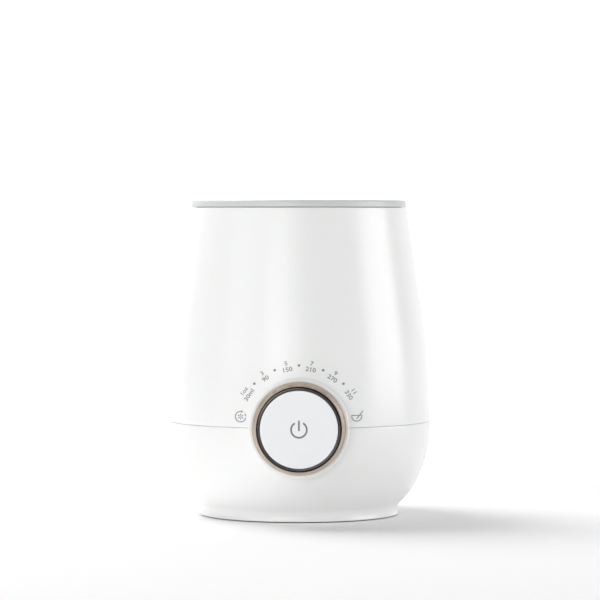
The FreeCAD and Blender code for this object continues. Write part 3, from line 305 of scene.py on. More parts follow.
def upper_outline():
    """Section of the bell: outside up, over the top edge, and inside down."""
    outside = flank_outline(0.0, SEAM + SEAM_GAP + SEAM_ROUND, 22)
    inside = flank_outline(WALL, SEAM + 3.2 * MM, 10)
    edge = (BELLY - SEAM_ROUND, SEAM + SEAM_GAP + SEAM_ROUND)
    top_out, top_in = outside.pop(), inside.pop()
    crest = arc((top_out[0] - TOP_ROUND, SHELL_TOP - TOP_ROUND), TOP_ROUND, 0.0,
                math.pi / 2, 5)
    return (arc(edge, SEAM_ROUND, -math.pi / 2, 0.0, 4)[:-1] + outside + crest
            + [top_in] + inside[::-1]
            + [(BELLY - 1.1 * MM, SEAM + 3.2 * MM), (BELLY - 1.1 * MM, SEAM + SEAM_GAP)])


def bowl_places():
    """Middles and radius of the bends under the seam, and the ankle's radius."""
    drop = SEAM - ANKLE - HEEL_BEND * (math.sin(HEEL_TURN) - math.sin(BOWL_TURN))
    bowl_bend = drop / math.sin(BOWL_TURN)
    bowl = (BELLY - bowl_bend, SEAM)
    heel = (bowl[0] + (bowl_bend - HEEL_BEND) * math.cos(BOWL_TURN),
            SEAM - (bowl_bend - HEEL_BEND) * math.sin(BOWL_TURN))
    waist = (heel[0] + (HEEL_BEND + WAIST_BEND) * math.cos(HEEL_TURN),
             heel[1] - (HEEL_BEND + WAIST_BEND) * math.sin(HEEL_TURN))
    return bowl_bend, bowl, heel, waist


def lower_outline():
    """Section of the bowl: outside down to the foot, floor ring, inside up, tongue."""
    bowl_bend, bowl, heel, waist = bowl_places()
    edge = SEAM - SEAM_GAP - SEAM_ROUND
    start = -math.asin((SEAM - edge) / bowl_bend)
    outside = arc((BELLY - SEAM_ROUND, edge), SEAM_ROUND, math.pi / 2, 0.0, 4)
    outside += arc(bowl, bowl_bend, start, -BOWL_TURN, 22)[1:]
    outside += arc(heel, HEEL_BEND, -BOWL_TURN, -HEEL_TURN, 10)[1:]
    foot_angle = math.pi + math.asin((waist[1] - SHELL_FOOT - 0.3 * MM) / WAIST_BEND)
    outside += arc(waist, WAIST_BEND, math.pi - HEEL_TURN, foot_angle, 14)[1:]
    foot = outside[-1]
    outside += [(foot[0] - 0.1 * MM, SHELL_FOOT + 0.08 * MM), (foot[0] - 0.4 * MM, SHELL_FOOT)]
    skirt = waist[0] - WAIST_BEND - 2.4 * MM
    ring_radius, ring_low, ring_high = FLOOR_RING
    ring = [(skirt, SHELL_FOOT), (skirt, ring_low), (ring_radius, ring_low),
            (ring_radius, ring_high)]
    heel_in = HEEL_BEND - WALL
    inner_start = -math.asin((heel[1] - ring_high) / heel_in)
    inside = arc(heel, heel_in, inner_start, -BOWL_TURN, 5)
    inside += arc(bowl, bowl_bend - WALL, -BOWL_TURN, 0.0, 10)[1:]
    tongue = [(BELLY - WALL, SEAM + 3 * MM), (BELLY - WALL + TONGUE, SEAM + 3 * MM),
              (BELLY - WALL + TONGUE, SEAM - SEAM_GAP)]
    return outside + ring + inside + tongue


def collar_ring(name):
    """The raised round collar, with a rounded front edge and a rounded inner edge."""
    outer = COLLAR_OUTER
    front = arc((outer - COLLAR_ROUND, COLLAR_FRONT - COLLAR_ROUND), COLLAR_ROUND,
                math.pi / 2, 0.0, 6)
    inner_round = arc((COLLAR_BORE + 0.25 * MM, COLLAR_FRONT - 0.25 * MM), 0.25 * MM,
                      math.pi, math.pi / 2, 4)
    return lathe(name, [(COLLAR_BORE, COLLAR_BACK)] + inner_round + front
                 + [(outer, COLLAR_BACK)], 288, "Y", SEAM)


def satin_abs():
    """ABS from a spark-eroded mould: warm white, evenly satin, with a faint grain that
    softens every highlight."""
    material, tree = new_material("satin_white_abs")
    place = add_node(tree, "ShaderNodeTexCoord", {})
    cloud = add_node(tree, "ShaderNodeTexNoise", {
        "Vector": place.outputs["Object"], "Scale": 1 / (35 * MM), "Detail": 2.0})
    tint = add_node(tree, "ShaderNodeMix", {
        "Factor": cloud.outputs["Fac"], "A": linear("#f3f4f3"), "B": linear("#f6f6f6")},
        data_type="RGBA")
    grain = add_node(tree, "ShaderNodeTexNoise", {
        "Vector": place.outputs["Object"], "Scale": 1 / (0.35 * MM), "Detail": 4.0,
        "Roughness": 0.6})
    gloss = add_node(tree, "ShaderNodeMapRange", {
        "Value": grain.outputs["Fac"], "To Min": 0.27, "To Max": 0.36})
    relief = add_node(tree, "ShaderNodeBump", {
        "Height": grain.outputs["Fac"], "Strength": 0.12, "Distance": 0.01 * MM})
    shader = add_node(tree, "ShaderNodeBsdfPrincipled", {
        "Base Color": tint.outputs["Result"], "Roughness": gloss.outputs["Result"],
        "IOR": 1.53, "Normal": relief.outputs["Normal"], "Coat Weight": 0.35,
        "Coat Roughness": 0.22, "Subsurface Weight": 0.08, "Subsurface Scale": 1.5 * MM})
    add_node(tree, "ShaderNodeOutputMaterial", {"Surface": shader.outputs["BSDF"]})
    return material


white_abs = satin_abs()
CUT_HALF = 28.4 * MM       # half width of the cuts that split the collar at the seam
CUT_BACK, CUT_FRONT = -50 * MM, -80 * MM
INLET_HEIGHT = 20 * MM
BOSS_RADIUS = 8.5 * MM
BOSS_BACK = 59 * MM        # how far behind the axis the boss's flat land is

upper_housing = lathe("upper_housing", upper_outline())
combine(upper_housing,
        ("UNION", collar_ring("collar_top")),
        ("DIFFERENCE", slab("below_seam", (-CUT_HALF, CUT_FRONT, 10 * MM),
                            (CUT_HALF, CUT_BACK, SEAM + SEAM_GAP / 2))),
        ("DIFFERENCE", rod("dial_bore", COLLAR_BORE, -CUT_BACK, -CUT_FRONT, SEAM)))
smooth(upper_housing)
upper_housing.data.materials.append(white_abs)
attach(upper_housing, "root")
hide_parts("upper_shell")

lower_housing = lathe("lower_housing", lower_outline())
combine(lower_housing,
        ("UNION", collar_ring("collar_bottom")),
        ("DIFFERENCE", slab("above_seam", (-CUT_HALF, CUT_FRONT, SEAM - SEAM_GAP / 2),
                            (CUT_HALF, CUT_BACK, 90 * MM))),
        ("DIFFERENCE", rod("dial_bore", COLLAR_BORE, -CUT_BACK, -CUT_FRONT, SEAM)),
        ("UNION", rod("inlet_boss", BOSS_RADIUS, -BOSS_BACK, -50.5 * MM, INLET_HEIGHT)),
        ("DIFFERENCE", rod("inlet_land", BOSS_RADIUS, -70 * MM, -BOSS_BACK, INLET_HEIGHT)),
        ("DIFFERENCE", rod("inlet_hole", 5.05 * MM, -70 * MM, -40 * MM, INLET_HEIGHT)))
smooth(lower_housing)
lower_housing.data.materials.append(white_abs)
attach(lower_housing, "root")
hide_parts("lower_shell")

# ---- Rim ring --------------------------------------------------------------------
# A light grey ABS ring pressed between housing and well. Its outer edge is rounded,
# the crest is narrow and level, and from there it falls to the mouth of the well.
RIM_LOW, RIM_TOP = (corner.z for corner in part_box("rim_ring"))
RIM_BOTTOM = SHELL_TOP + 0.3 * MM
MOUTH = 41.3 * MM
RIM_WEB = 1.1 * MM


def rim_outline():
    """Section of the rim: skirt, shadow gap, rounded edge, crest, fall to the mouth."""
    top_radius = flank_outline(0.0, SEAM + 1 * MM, 8)[-1][0]

    def flank(height):
        return top_radius - (height - SHELL_TOP) * math.tan(FLANK_LEAN)

    skirt_out = flank_outline(WALL, SEAM + 1 * MM, 8)[-1][0] - 0.2 * MM
    shoulder = flank(RIM_TOP - 1 * MM)
    crest = shoulder - 1.75 * MM
    dip = RIM_TOP - 1.9 * MM
    lip = 1.6 * MM
    low_edge = flank(RIM_BOTTOM) - 0.2 * MM
    return ([(skirt_out - RIM_WEB, RIM_LOW), (skirt_out, RIM_LOW), (skirt_out, RIM_BOTTOM)]
            + arc((low_edge, RIM_BOTTOM + 0.2 * MM), 0.2 * MM, -math.pi / 2, 0.0, 4)
            + arc((shoulder - 1 * MM, RIM_TOP - 1 * MM), 1 * MM, FLANK_LEAN, math.pi / 2, 10)
            + [(crest + 0.15 * MM, RIM_TOP), (crest - 0.35 * MM, RIM_TOP - 0.05 * MM)]
            + arc((MOUTH + lip, dip - lip), lip, math.radians(104), math.pi, 10)
            + [(MOUTH, RIM_LOW), (MOUTH + RIM_WEB, RIM_LOW), (MOUTH + RIM_WEB, dip - lip),
               (skirt_out - RIM_WEB, RIM_TOP - 2.05 * MM)])


def moulded(name, light, dark, grain, gloss, relief, ior=1.5, coat=0.0):
    """A moulded surface: two close tones in soft clouds, a grain of a real size that
    moves the gloss between two values, and a slight relief from the same grain."""
    material, tree = new_material(name)
    place = add_node(tree, "ShaderNodeTexCoord", {})
    cloud = add_node(tree, "ShaderNodeTexNoise", {
        "Vector": place.outputs["Object"], "Scale": 1 / (20 * MM), "Detail": 2.0})
    tint = add_node(tree, "ShaderNodeMix", {
        "Factor": cloud.outputs["Fac"], "A": linear(light), "B": linear(dark)},
        data_type="RGBA")
    fine = add_node(tree, "ShaderNodeTexNoise", {
        "Vector": place.outputs["Object"], "Scale": 1 / (grain * MM), "Detail": 4.0})
    shine = add_node(tree, "ShaderNodeMapRange", {
        "Value": fine.outputs["Fac"], "To Min": gloss[0], "To Max": gloss[1]})
    bumps = add_node(tree, "ShaderNodeBump", {
        "Height": fine.outputs["Fac"], "Strength": relief, "Distance": 0.02 * MM})
    shader = add_node(tree, "ShaderNodeBsdfPrincipled", {
        "Base Color": tint.outputs["Result"], "Roughness": shine.outputs["Result"],
        "IOR": ior, "Coat Weight": coat, "Normal": bumps.outputs["Normal"]})
    add_node(tree, "ShaderNodeOutputMaterial", {"Surface": shader.outputs["BSDF"]})
    return material


rim = lathe("rim", rim_outline())
smooth(rim, 40)
# Light grey ABS, finer and a little glossier than the housing, so the edge reads crisp.
rim.data.materials.append(moulded("satin_grey_abs", "#d2d4d5", "#cdcfd0", 0.30,
                                  (0.30, 0.42), 0.10, 1.53))
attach(rim, "root")
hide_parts("rim_ring")

# ---- Water well ------------------------------------------------------------------
# A deep tube of pale polypropylene, moulded with a bottom lip, a top flange and four
# screw ears. It hangs on a silicone ring on the housing's ledge.
LINER_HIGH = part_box("well_liner")[1]


def liner_outline():
    """Section of the tube: lip, outer wall, flange, rounded mouth, inner wall, foot."""
    inner, outer, lip, foot, flange_low = (41 * MM, 43 * MM, 36.5 * MM, 52 * MM,
                                           LINER_HIGH.z - 1.8 * MM)
    return ([(lip, foot), (outer, foot), (outer, flange_low), (LINER_HIGH.x, flange_low),
             (LINER_HIGH.x, LINER_HIGH.z)]
            + arc((inner + 0.4 * MM, LINER_HIGH.z - 0.4 * MM), 0.4 * MM, math.pi / 2,
                  math.pi, 5)
            + arc((inner - 1.5 * MM, foot + 4 * MM), 1.5 * MM, 0.0, -math.pi / 2, 8)
            + [(lip + 0.3 * MM, foot + 2.5 * MM), (lip, foot + 2.2 * MM)])


def peg(name, radius, low, high, x, y, count=64):
    """An upright round bar to join or cut with."""
    points = [(x + radius * math.cos(2 * math.pi * i / count),
               y + radius * math.sin(2 * math.pi * i / count), z)
              for z in (low, high) for i in range(count)]
    faces = [(i, (i + 1) % count, count + (i + 1) % count, count + i) for i in range(count)]
    faces += [tuple(range(count)), tuple(range(count, 2 * count))]
    obj = mesh_object(name, points, faces)
    face_outwards(obj)
    return obj


well = lathe("well", liner_outline(), 240)
EAR_CIRCLE = 47 * MM
ears = [(EAR_CIRCLE * math.cos(math.radians(a)), EAR_CIRCLE * math.sin(math.radians(a)))
        for a in (45, 135, 225, 315)]
combine(well,
        *(("UNION", peg("ear", 4.5 * MM, 48.5 * MM, 58 * MM, x, y)) for x, y in ears),
        *(("DIFFERENCE", peg("hole", 1.5 * MM, 48 * MM, 56.6 * MM, x, y)) for x, y in ears),
        ("DIFFERENCE", peg("under", 43 * MM, 40 * MM, 52 * MM, 0, 0, 240)))
smooth(well)
# Polypropylene: milky and soft, with a polished skin and a trace of moulding waves.
well.data.materials.append(moulded("polypropylene", "#dcdfe1", "#d6dadc", 2.5,
                                   (0.26, 0.36), 0.06, 1.49))
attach(well, "root")
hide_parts("well_liner")

# ---- Heater plate ----------------------------------------------------------------
# A die-cast aluminium plate under the well, with a raised middle and three ribs that
# the bottle stands on. It is blasted, so it looks dull and finely sparkling.
PLATE_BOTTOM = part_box("heater_plate")[0].z


def plate_outline():
    """Section of the plate: flat underside, sealing land, rounded raised middle."""
    edge, land, middle_radius = 42 * MM, 50.5 * MM, 35.8 * MM
    top = 53.5 * MM
    return ([(0.0, PLATE_BOTTOM), (edge - 0.3 * MM, PLATE_BOTTOM),
             (edge, PLATE_BOTTOM + 0.3 * MM), (edge, land - 0.3 * MM),
             (edge - 0.3 * MM, land), (middle_radius, land)]
            + arc((middle_radius - 0.8 * MM, top - 0.8 * MM), 0.8 * MM, 0.0, math.pi / 2, 6)
            + [(0.0, top)])


def rest_rib(angle):
    """A low rib along a radius, with sloping sides and rounded top edges."""
    points = []
    for radius in (10 * MM, 10.5 * MM, 29.5 * MM, 30 * MM):
        inset = 0.35 * MM if radius in (10 * MM, 30 * MM) else 0.0
        for side, height in ((-1.5, 52.5), (-1.5, 54.3 - inset / MM), (-1.1, 54.7 - inset / MM),
                             (1.1, 54.7 - inset / MM), (1.5, 54.3 - inset / MM), (1.5, 52.5)):
            across = side * MM
            points.append((radius * math.cos(angle) - across * math.sin(angle),
                           radius * math.sin(angle) + across * math.cos(angle), height * MM))
    faces = [(6 * r + i, 6 * r + (i + 1) % 6, 6 * r + 6 + (i + 1) % 6, 6 * r + 6 + i)
             for r in range(3) for i in range(6)]
    faces += [tuple(range(6)), tuple(range(18, 24))]
    obj = mesh_object("rib", points, faces)
    face_outwards(obj)
    return obj


def turned_metal(name, tone, shade, pitch, gloss, relief, along):
    """Metal that was spun or turned: fine lines round an axis, each a little brighter
    or duller than the next, over a soft change of tone."""
    material, tree = new_material(name)
    place = add_node(tree, "ShaderNodeTexCoord", {})
    split = add_node(tree, "ShaderNodeSeparateXYZ", {"Vector": place.outputs["Object"]})
    lines = add_node(tree, "ShaderNodeTexNoise", {
        "W": split.outputs[along], "Scale": 1 / (pitch * MM), "Detail": 3.0},
        noise_dimensions="1D")
    cloud = add_node(tree, "ShaderNodeTexNoise", {
        "Vector": place.outputs["Object"], "Scale": 1 / (6 * MM), "Detail": 3.0})
    tint = add_node(tree, "ShaderNodeMix", {
        "Factor": cloud.outputs["Fac"], "A": linear(tone), "B": linear(shade)},
        data_type="RGBA")
    shine = add_node(tree, "ShaderNodeMapRange", {
        "Value": lines.outputs["Fac"], "To Min": gloss[0], "To Max": gloss[1]})
    grooves = add_node(tree, "ShaderNodeBump", {
        "Height": lines.outputs["Fac"], "Strength": relief, "Distance": 0.01 * MM})
    shader = add_node(tree, "ShaderNodeBsdfPrincipled", {
        "Base Color": tint.outputs["Result"], "Metallic": 1.0,
        "Roughness": shine.outputs["Result"], "Normal": grooves.outputs["Normal"]})
    add_node(tree, "ShaderNodeOutputMaterial", {"Surface": shader.outputs["BSDF"]})
    return material


plate = lathe("plate", plate_outline(), 192)
combine(plate, *(("UNION", rest_rib(math.radians(angle))) for angle in (90, 210, 330)))
smooth(plate)
# Blasted cast aluminium: dull silver with a fine grain.
plate.data.materials.append(turned_metal("cast_aluminium", "#c9cbcc", "#b4b6b8", 0.8,
                                         (0.42, 0.58), 0.15, "Z"))
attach(plate, "root")
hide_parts("heater_plate")

# ---- Dial ring -------------------------------------------------------------------
# A lathe-turned aluminium cone round the button, anodised in a champagne copper tone.
# A small notch in its front edge points at the marks. It is glued to the dial sleeve.
RING_BACK = -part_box("knob_ring")[1].y
RING_FRONT = -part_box("knob_ring")[0].y
RING_INNER = 20 * MM
RING_OUTER = 22 * MM


def ring_outline():
    """Section of the ring: straight band, cone, narrow rounded front edge, bore."""
    return [(RING_INNER, RING_BACK), (RING_OUTER - 0.15 * MM, RING_BACK),
            (RING_OUTER, RING_BACK + 0.15 * MM), (RING_OUTER, RING_BACK + 0.42 * MM),
            (RING_OUTER - 0.03 * MM, RING_BACK + 0.6 * MM),
            (RING_INNER + 0.42 * MM, RING_FRONT - 0.22 * MM),
            (RING_INNER + 0.34 * MM, RING_FRONT - 0.06 * MM),
            (RING_INNER + 0.24 * MM, RING_FRONT), (RING_INNER + 0.08 * MM, RING_FRONT),
            (RING_INNER, RING_FRONT - 0.08 * MM)]


dial_ring = lathe("dial_ring", ring_outline(), 360, "Y", SEAM)
combine(dial_ring, ("DIFFERENCE", rod("pointer", 0.45 * MM, RING_FRONT - 0.45 * MM,
                                      RING_FRONT + 1 * MM, SEAM + RING_INNER + 0.175 * MM)))
smooth(dial_ring, 25)
# Anodised aluminium: a warm copper grey with turning lines round the axis, which draw
# the highlight out into a soft band on each side.
dial_ring.data.materials.append(turned_metal("champagne_anodised_aluminium", "#c0ad9b",
                                             "#b8a593", 0.12, (0.16, 0.26), 0.08, "Y"))
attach(dial_ring, "knob")
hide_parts("knob_ring")

# ---- Light guide -----------------------------------------------------------------
# A tube of smoked polycarbonate between ring and button that carries the light of the
# chips behind it. Unlit it looks nearly black, with a paler polished front edge.
GUIDE_BACK = -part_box("light_guide")[1].y
GUIDE_FRONT = -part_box("light_guide")[0].y
GUIDE_INNER = 18.5 * MM
GUIDE_OUTER = 19.5 * MM


def guide_outline():
    """Section of the tube, with rounded front edges and the lip that seats it."""
    seat = (53.5 * MM, 54.7 * MM, 16.9 * MM)
    return [(GUIDE_OUTER, GUIDE_BACK), (GUIDE_OUTER, GUIDE_FRONT - 0.2 * MM),
            (GUIDE_OUTER - 0.06 * MM, GUIDE_FRONT - 0.06 * MM),
            (GUIDE_OUTER - 0.2 * MM, GUIDE_FRONT), (GUIDE_INNER + 0.2 * MM, GUIDE_FRONT),
            (GUIDE_INNER + 0.06 * MM, GUIDE_FRONT - 0.06 * MM),
            (GUIDE_INNER, GUIDE_FRONT - 0.2 * MM), (GUIDE_INNER, seat[1]),
            (seat[2], seat[1]), (seat[2], seat[0]), (GUIDE_INNER, seat[0]),
            (GUIDE_INNER, GUIDE_BACK)]


guide = lathe("guide", guide_outline(), 288, "Y", SEAM)
smooth(guide, 28)
# Smoked polycarbonate: dark grey under a hard clear skin.
guide.data.materials.append(moulded("smoked_polycarbonate", "#31302e", "#2b2a28", 0.8,
                                    (0.12, 0.20), 0.03, 1.585, coat=0.6))
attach(guide, "root")
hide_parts("light_guide")

# ---- Button ----------------------------------------------------------------------
# A round cap of gloss white ABS with a flat face and a rounded edge. It snaps over the
# hub and slides in when it is pressed. The on/off symbol is pad-printed in grey.
BUTTON_FRONT = -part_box("button_cap")[0].y
BUTTON_STEM_END = -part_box("button_cap")[1].y
BUTTON_RADIUS = 18.2 * MM
SYMBOL_RADIUS = 3.65 * MM
STROKE = 0.85 * MM


def button_outline():
    """Section of the cap: stem, face, rounded edge, skirt and inward snap lip."""
    face = BUTTON_FRONT
    return ([(0.0, BUTTON_STEM_END), (0.0, face), (BUTTON_RADIUS - 1.2 * MM, face)]
            + arc((BUTTON_RADIUS - 0.5 * MM, face - 0.5 * MM), 0.5 * MM, math.pi / 2, 0.0, 8)
            + [(BUTTON_RADIUS, face - 11.6 * MM), (15.8 * MM, face - 11.6 * MM),
               (15.8 * MM, face - 10.6 * MM), (16.3 * MM, face - 10.6 * MM),
               (16.3 * MM, face - 2.5 * MM), (2.5 * MM, face - 2.5 * MM),
               (2.5 * MM, BUTTON_STEM_END)])


def print_on(name, loops, spot, thickness):
    """A thin closed film of ink. Each loop lists (across, up) on the dial's front, and
    spot turns one of them into a point on the surface and the way it faces."""
    points, faces = [], []
    for loop in loops:
        first, count = len(points), len(loop)
        for depth in (-thickness, thickness):
            for across, up in loop:
                place, facing = spot(across, up)
                points.append(place + facing * depth)
        faces.append(tuple(range(first, first + count)))
        faces.append(tuple(range(first + count, first + 2 * count)))
        faces += [(first + i, first + (i + 1) % count, first + count + (i + 1) % count,
                   first + count + i) for i in range(count)]
    obj = mesh_object(name, points, faces)
    face_outwards(obj)
    return obj


def bow(radius, width, first, last, steps=40):
    """A curved stroke as a loop, between two angles counted clockwise from the top."""
    angles = [math.radians(first + (last - first) * i / steps) for i in range(steps + 1)]
    outer = [((radius + width / 2) * math.sin(a), (radius + width / 2) * math.cos(a))
             for a in angles]
    inner = [((radius - width / 2) * math.sin(a), (radius - width / 2) * math.cos(a))
             for a in angles]
    return outer + inner[::-1]


def bar(start, end, width, steps=8):
    """A straight stroke with round ends, as a loop."""
    run = Vector(end) - Vector(start)
    heading = math.atan2(run.y, run.x)
    loop = []
    for centre, turn in ((end, -math.pi / 2), (start, math.pi / 2)):
        for i in range(steps + 1):
            a = heading + turn + math.pi * i / steps
            loop.append((centre[0] + width / 2 * math.cos(a),
                         centre[1] + width / 2 * math.sin(a)))
    return loop


def on_button(across, up):
    """A spot on the button's flat face."""
    return Vector((across, -BUTTON_FRONT, SEAM + up)), Vector((0, -1, 0))


button = lathe("button", button_outline(), 288, "Y", SEAM)
smooth(button, 28)
# Gloss ABS: brighter and smoother than the housing, with a faint orange peel.
button.data.materials.append(moulded("gloss_white_abs", "#f4f5f7", "#f2f3f5", 1.5,
                                     (0.16, 0.22), 0.02, 1.53))
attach(button, "button")
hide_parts("button_cap")

# Pad-printing ink: flat mid grey, a touch duller than the plastic under it.
grey_ink = moulded("grey_printing_ink", "#7d7f81", "#777a7c", 0.2, (0.45, 0.6), 0.05)
symbol = print_on("power_symbol", [bow(SYMBOL_RADIUS, STROKE, 32, 328, 64),
                                   bar((0, 4.0 * MM), (0, -0.2 * MM), STROKE)],
                  on_button, 0.02 * MM)
symbol.data.materials.append(grey_ink)
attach(symbol, "button")

# ---- Dial marks ------------------------------------------------------------------
# Pad-printed on the housing round the dial: amounts in ounces over millilitres, dots
# between them, a thawing sign at the left end and a food bowl at the right end.
DOT_CIRCLE = 29.5 * MM
SIGN_SIDE = 27.4 * MM
SIGN_RISE = 5.2 * MM
MARK_STEP = 11.3


def on_housing(across, up):
    """A spot on the bell near the dial, and the way the skin faces there."""
    radius = (BELLY - FLANK_BEND) + math.sqrt(FLANK_BEND ** 2 - up ** 2)
    depth = math.sqrt(radius ** 2 - across ** 2)
    facing = Vector((across, -depth, up * radius / (radius - BELLY + FLANK_BEND)))
    return Vector((across, -depth, SEAM + up)), facing.normalized()


def turned_about(loop, angle, circle_radius):
    """A loop drawn upright about its own middle, moved to its place round the dial."""
    a = math.radians(angle)
    return [(x * math.cos(a) + (circle_radius + y) * math.sin(a),
             -x * math.sin(a) + (circle_radius + y) * math.cos(a)) for x, y in loop]


def figures(name, body, size, angle, circle_radius):
    """A printed word: the outline of its letters as a thin film on the housing."""
    text = bpy.data.curves.new(name, "FONT")
    text.body = body
    text.size = size
    text.align_x = "CENTER"
    text.align_y = "CENTER"
    text.resolution_u = 3
    text.extrude = 0.03 * MM
    text.offset = 0.03 * MM
    shape = bpy.data.objects.new(name, text)
    bpy.context.collection.objects.link(shape)
    graph = bpy.context.evaluated_depsgraph_get()
    graph.update()
    mesh = bpy.data.meshes.new_from_object(shape.evaluated_get(graph))
    bpy.data.objects.remove(shape)
    for vertex in mesh.vertices:
        spot = turned_about([(vertex.co.x * 1.14, vertex.co.y)], angle, circle_radius)[0]
        place, facing = on_housing(*spot)
        vertex.co = place + facing * vertex.co.z
    obj = bpy.data.objects.new(name, mesh)
    bpy.context.collection.objects.link(obj)
    face_outwards(obj)
    return obj


def thaw_sign():
    """A round arrow about a small six-pointed star of dots."""
    thin = 0.40 * MM
    loops = [bow(2.45 * MM, thin, 100, 362, 40), bow(2.45 * MM, thin, 52, 84, 8),
             [(0.25 * MM, 3.1 * MM), (1.2 * MM, 2.35 * MM), (0.25 * MM, 1.75 * MM)]]
    for a in range(0, 360, 60):
        x, y = 1.2 * MM * math.sin(math.radians(a)), 1.2 * MM * math.cos(math.radians(a))
        loops.append(bar((x * 0.62, y * 0.62), (x, y), 0.46 * MM, 5))
    loops.append(bar((-0.02 * MM, 0), (0.02 * MM, 0), 0.46 * MM, 5))
    return loops


def bowl_sign():
    """A bowl seen from the side with a spoon standing in it."""
    thin = 0.40 * MM
    rim_line = bar((-2.75 * MM, 0.6 * MM), (0.65 * MM, 0.6 * MM), thin, 5)
    rim_rest = bar((1.65 * MM, 0.6 * MM), (2.35 * MM, 0.6 * MM), thin, 5)
    bottom = [(x - 0.2 * MM, y + 0.3 * MM) for x, y in bow(2.4 * MM, thin, 93, 267, 30)]
    spoon = bar((-0.2 * MM, -0.9 * MM), (2.7 * MM, 2.6 * MM), 0.42 * MM, 5)
    return [rim_line, rim_rest, bottom, spoon]


marks = []
for step in range(-4, 5, 2):
    marks.append(turned_about(bar((-0.01 * MM, 0), (0.01 * MM, 0), 1.15 * MM, 14),
                              step * MARK_STEP, DOT_CIRCLE))
for sign, side in ((thaw_sign(), -1), (bowl_sign(), 1)):
    marks += [[(x + side * SIGN_SIDE, y + SIGN_RISE) for x, y in loop] for loop in sign]
dots = print_on("dial_dots", marks, on_housing, 0.06 * MM)
dots.data.materials.append(grey_ink)
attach(dots, "root")
AMOUNTS = [("1oz", "30ml", -5), ("3", "90", -3), ("5", "150", -1), ("7", "210", 1),
           ("9", "270", 3), ("11", "330", 5)]
for ounces, millilitres, step in AMOUNTS:
    for label, text, size, radius in (("oz", ounces, 2.7 * MM, 30.9 * MM),
                                      ("ml", millilitres, 2.9 * MM, 28.0 * MM)):
        mark = figures(f"mark_{label}_{millilitres}", text, size, step * MARK_STEP, radius)
        mark.data.materials.append(grey_ink)
        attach(mark, "root")

# ---- Cord gland ------------------------------------------------------------------
# A black rubber bush at the back through which the mains cord enters. Its flange has a
# rounded edge and a moulded groove, and its lip snaps behind the housing's boss.
GLAND_LOW, GLAND_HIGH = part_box("cord_gland")
INLET_LEVEL = (GLAND_LOW.z + GLAND_HIGH.z) / 2


def gland_outline():
    """Section of the bush: bore, snap lip, neck, flange with its groove."""
    bore, neck, lip, flange = 3.4 * MM, 4.9 * MM, 5.9 * MM, GLAND_HIGH.x
    back, inner = -GLAND_HIGH.y, -GLAND_LOW.y
    seat = back + 2.2 * MM
    return ([(bore, inner), (lip - 0.4 * MM, inner), (lip, inner - 0.4 * MM),
             (lip, inner - 1.5 * MM), (neck, inner - 1.5 * MM), (neck, seat), (flange, seat)]
            + arc((flange - 0.6 * MM, back + 0.6 * MM), 0.6 * MM, 0.0, -math.pi / 2, 6)
            + [(6.2 * MM, back), (5.9 * MM, back + 0.35 * MM), (5.4 * MM, back + 0.35 * MM),
               (5.1 * MM, back), (bore + 0.4 * MM, back), (bore, back + 0.4 * MM)])


# Thermoplastic rubber: deep black without shine, with a powdery grain.
black_rubber = moulded("black_rubber", "#1d1d1d", "#171717", 0.4, (0.75, 0.9), 0.35, 1.51)
gland = lathe("gland", gland_outline(), 96, "Y", INLET_LEVEL)
smooth(gland)
gland.data.materials.append(black_rubber)
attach(gland, "root")
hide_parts("cord_gland")

# ---- Foot and base screws --------------------------------------------------------
# A rubber ring pressed into a groove of the base plate, with rounded edges where it
# stands, and four zinc-plated cross-head screws sunk in the plate.
FOOT_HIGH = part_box("foot_ring")[1]
HEAD_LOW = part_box("base_screws")[0].z


def foot_outline():
    """Section of the foot ring: square in its groove, rounded on the table."""
    outer, inner, top, soft = FOOT_HIGH.x, FOOT_HIGH.x - 2.6 * MM, FOOT_HIGH.z, 0.6 * MM
    return ([(outer, top), (inner, top)]
            + arc((inner + soft, soft), soft, math.pi, 1.5 * math.pi, 6)
            + arc((outer - soft, soft), soft, 1.5 * math.pi, 2 * math.pi, 6))


foot = lathe("foot", foot_outline(), 240)
smooth(foot, 40)
foot.data.materials.append(black_rubber)
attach(foot, "root")
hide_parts("foot_ring")

# Zinc-plated steel of screws, clamp ring and springs: cool, bright, slightly mottled.
zinc = turned_metal("zinc_plated_steel", "#b9bcc0", "#a5a8ac", 0.4, (0.28, 0.42), 0.08, "Z")
LEG_CIRCLE = 36 * MM
SLOT_LONG, SLOT_NARROW = 1.5 * MM, 0.35 * MM      # half sizes of the cross recess
for number, angle in enumerate((60, 120, 240, 300)):
    x = LEG_CIRCLE * math.cos(math.radians(angle))
    y = LEG_CIRCLE * math.sin(math.radians(angle))
    screw = peg(f"base_screw_{number}", 2.8 * MM, HEAD_LOW, HEAD_LOW + 1.2 * MM, x, y)
    combine(screw,
            ("UNION", peg("shank", 1.4 * MM, HEAD_LOW + 1 * MM, 13.4 * MM, x, y)),
            *(("DIFFERENCE", slab("slot", (x - across, y - along, 0),
                                  (x + across, y + along, HEAD_LOW + 0.8 * MM)))
              for across, along in ((SLOT_LONG, SLOT_NARROW), (SLOT_NARROW, SLOT_LONG))))
    smooth(screw)
    screw.data.materials.append(zinc)
    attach(screw, "root")
    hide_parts("base_screws")

# ---- Inside and underside --------------------------------------------------------
# Everything that the housing hides or that shows only from below. The pieces keep
# their CAD shapes and get the look of what they are made of.


def finish_node(material, *nodes):
    """Gives one material to CAD nodes."""
    for name in nodes:
        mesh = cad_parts[name].data
        mesh.materials.clear()
        mesh.materials.append(material)


# Glass-filled polyamide: matt grey, with a slightly fibrous, cloudy skin.
finish_node(moulded("glass_filled_polyamide", "#8a8c8e", "#7c7e80", 0.6, (0.5, 0.68), 0.25),
            "chassis", "dial_bracket", "button_hub")
# White ABS of the base plate, with the same material as the housing.
finish_node(white_abs, "base_plate")
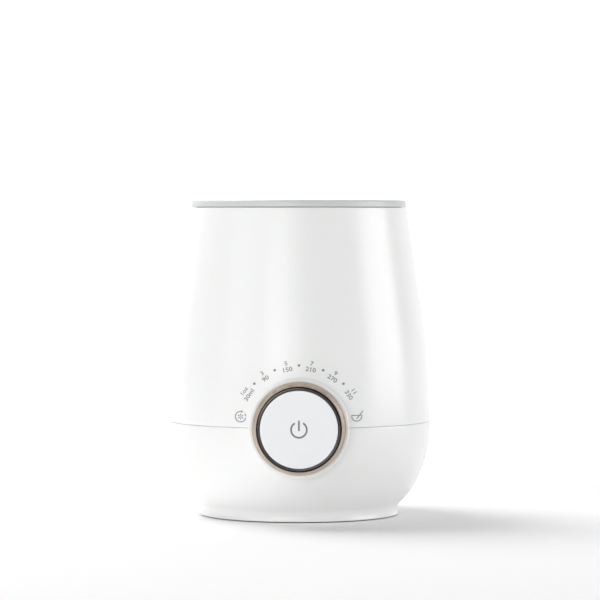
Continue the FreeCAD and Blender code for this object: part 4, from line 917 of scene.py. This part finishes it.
# Acetal: black, waxy and fine-grained, since it must run smoothly.
finish_node(moulded("black_acetal", "#202021", "#1a1a1b", 0.5, (0.35, 0.45), 0.05, 1.48),
            "dial_rotor", "switch_plunger", "push_switch", "cord_clamp", "terminal_block")
# Silicone: pale and slightly greasy to the eye.
finish_node(moulded("silicone_rubber", "#c4c4c1", "#bbbbb8", 1.2, (0.42, 0.55), 0.10, 1.41),
            "ledge_seal", "well_seal")
# Glass epoxy under green solder mask: dark, even and shiny.
finish_node(moulded("glass_epoxy_board", "#155235", "#10462c", 0.9, (0.22, 0.32), 0.12, 1.55),
            "power_board", "dial_board")
# Moulded epoxy of relay, transformer and thermostat: charcoal, slightly sparkling.
finish_node(moulded("moulded_epoxy", "#26262a", "#1f1f22", 0.3, (0.45, 0.6), 0.15, 1.55),
            "relay", "transformer", "thermostat")
# Phosphor-coated chips: creamy yellow, matt and even.
finish_node(moulded("phosphor_chip", "#f3ecc9", "#eee5bb", 0.3, (0.35, 0.5), 0.08, 1.5),
            "light_chips")
# Ribbon cable in pale grey vinyl: soft sheen along its length.
finish_node(moulded("grey_vinyl", "#b8b9ba", "#afb0b1", 1.3, (0.35, 0.48), 0.10, 1.53),
            "ribbon_cable")
finish_node(zinc, "chassis_screws", "board_screws", "clamp_screws", "bracket_screws",
            "dial_board_screws", "hub_screws", "clamp_ring", "sensor_clip", "detent_spring")
# Annealed sheath of the heating tube and the sensors' cans: grey with a straw tint.
finish_node(turned_metal("annealed_steel", "#94908a", "#7e7a73", 0.5, (0.38, 0.52), 0.12, "Z"),
            "heating_element", "temperature_sensor", "thermal_fuse")
# Bare brass of the cold pins and the wiper: yellow, drawn and lightly rubbed.
finish_node(turned_metal("brass", "#cfae6a", "#bf9d58", 0.3, (0.25, 0.38), 0.08, "Z"),
            "element_pins", "contact_wiper")
# Drawn aluminium of the capacitor cans: bright, with long drawing lines.
finish_node(turned_metal("drawn_aluminium", "#c3c6ca", "#b6b9bd", 0.5, (0.24, 0.34), 0.06, "Z"),
            "capacitors")
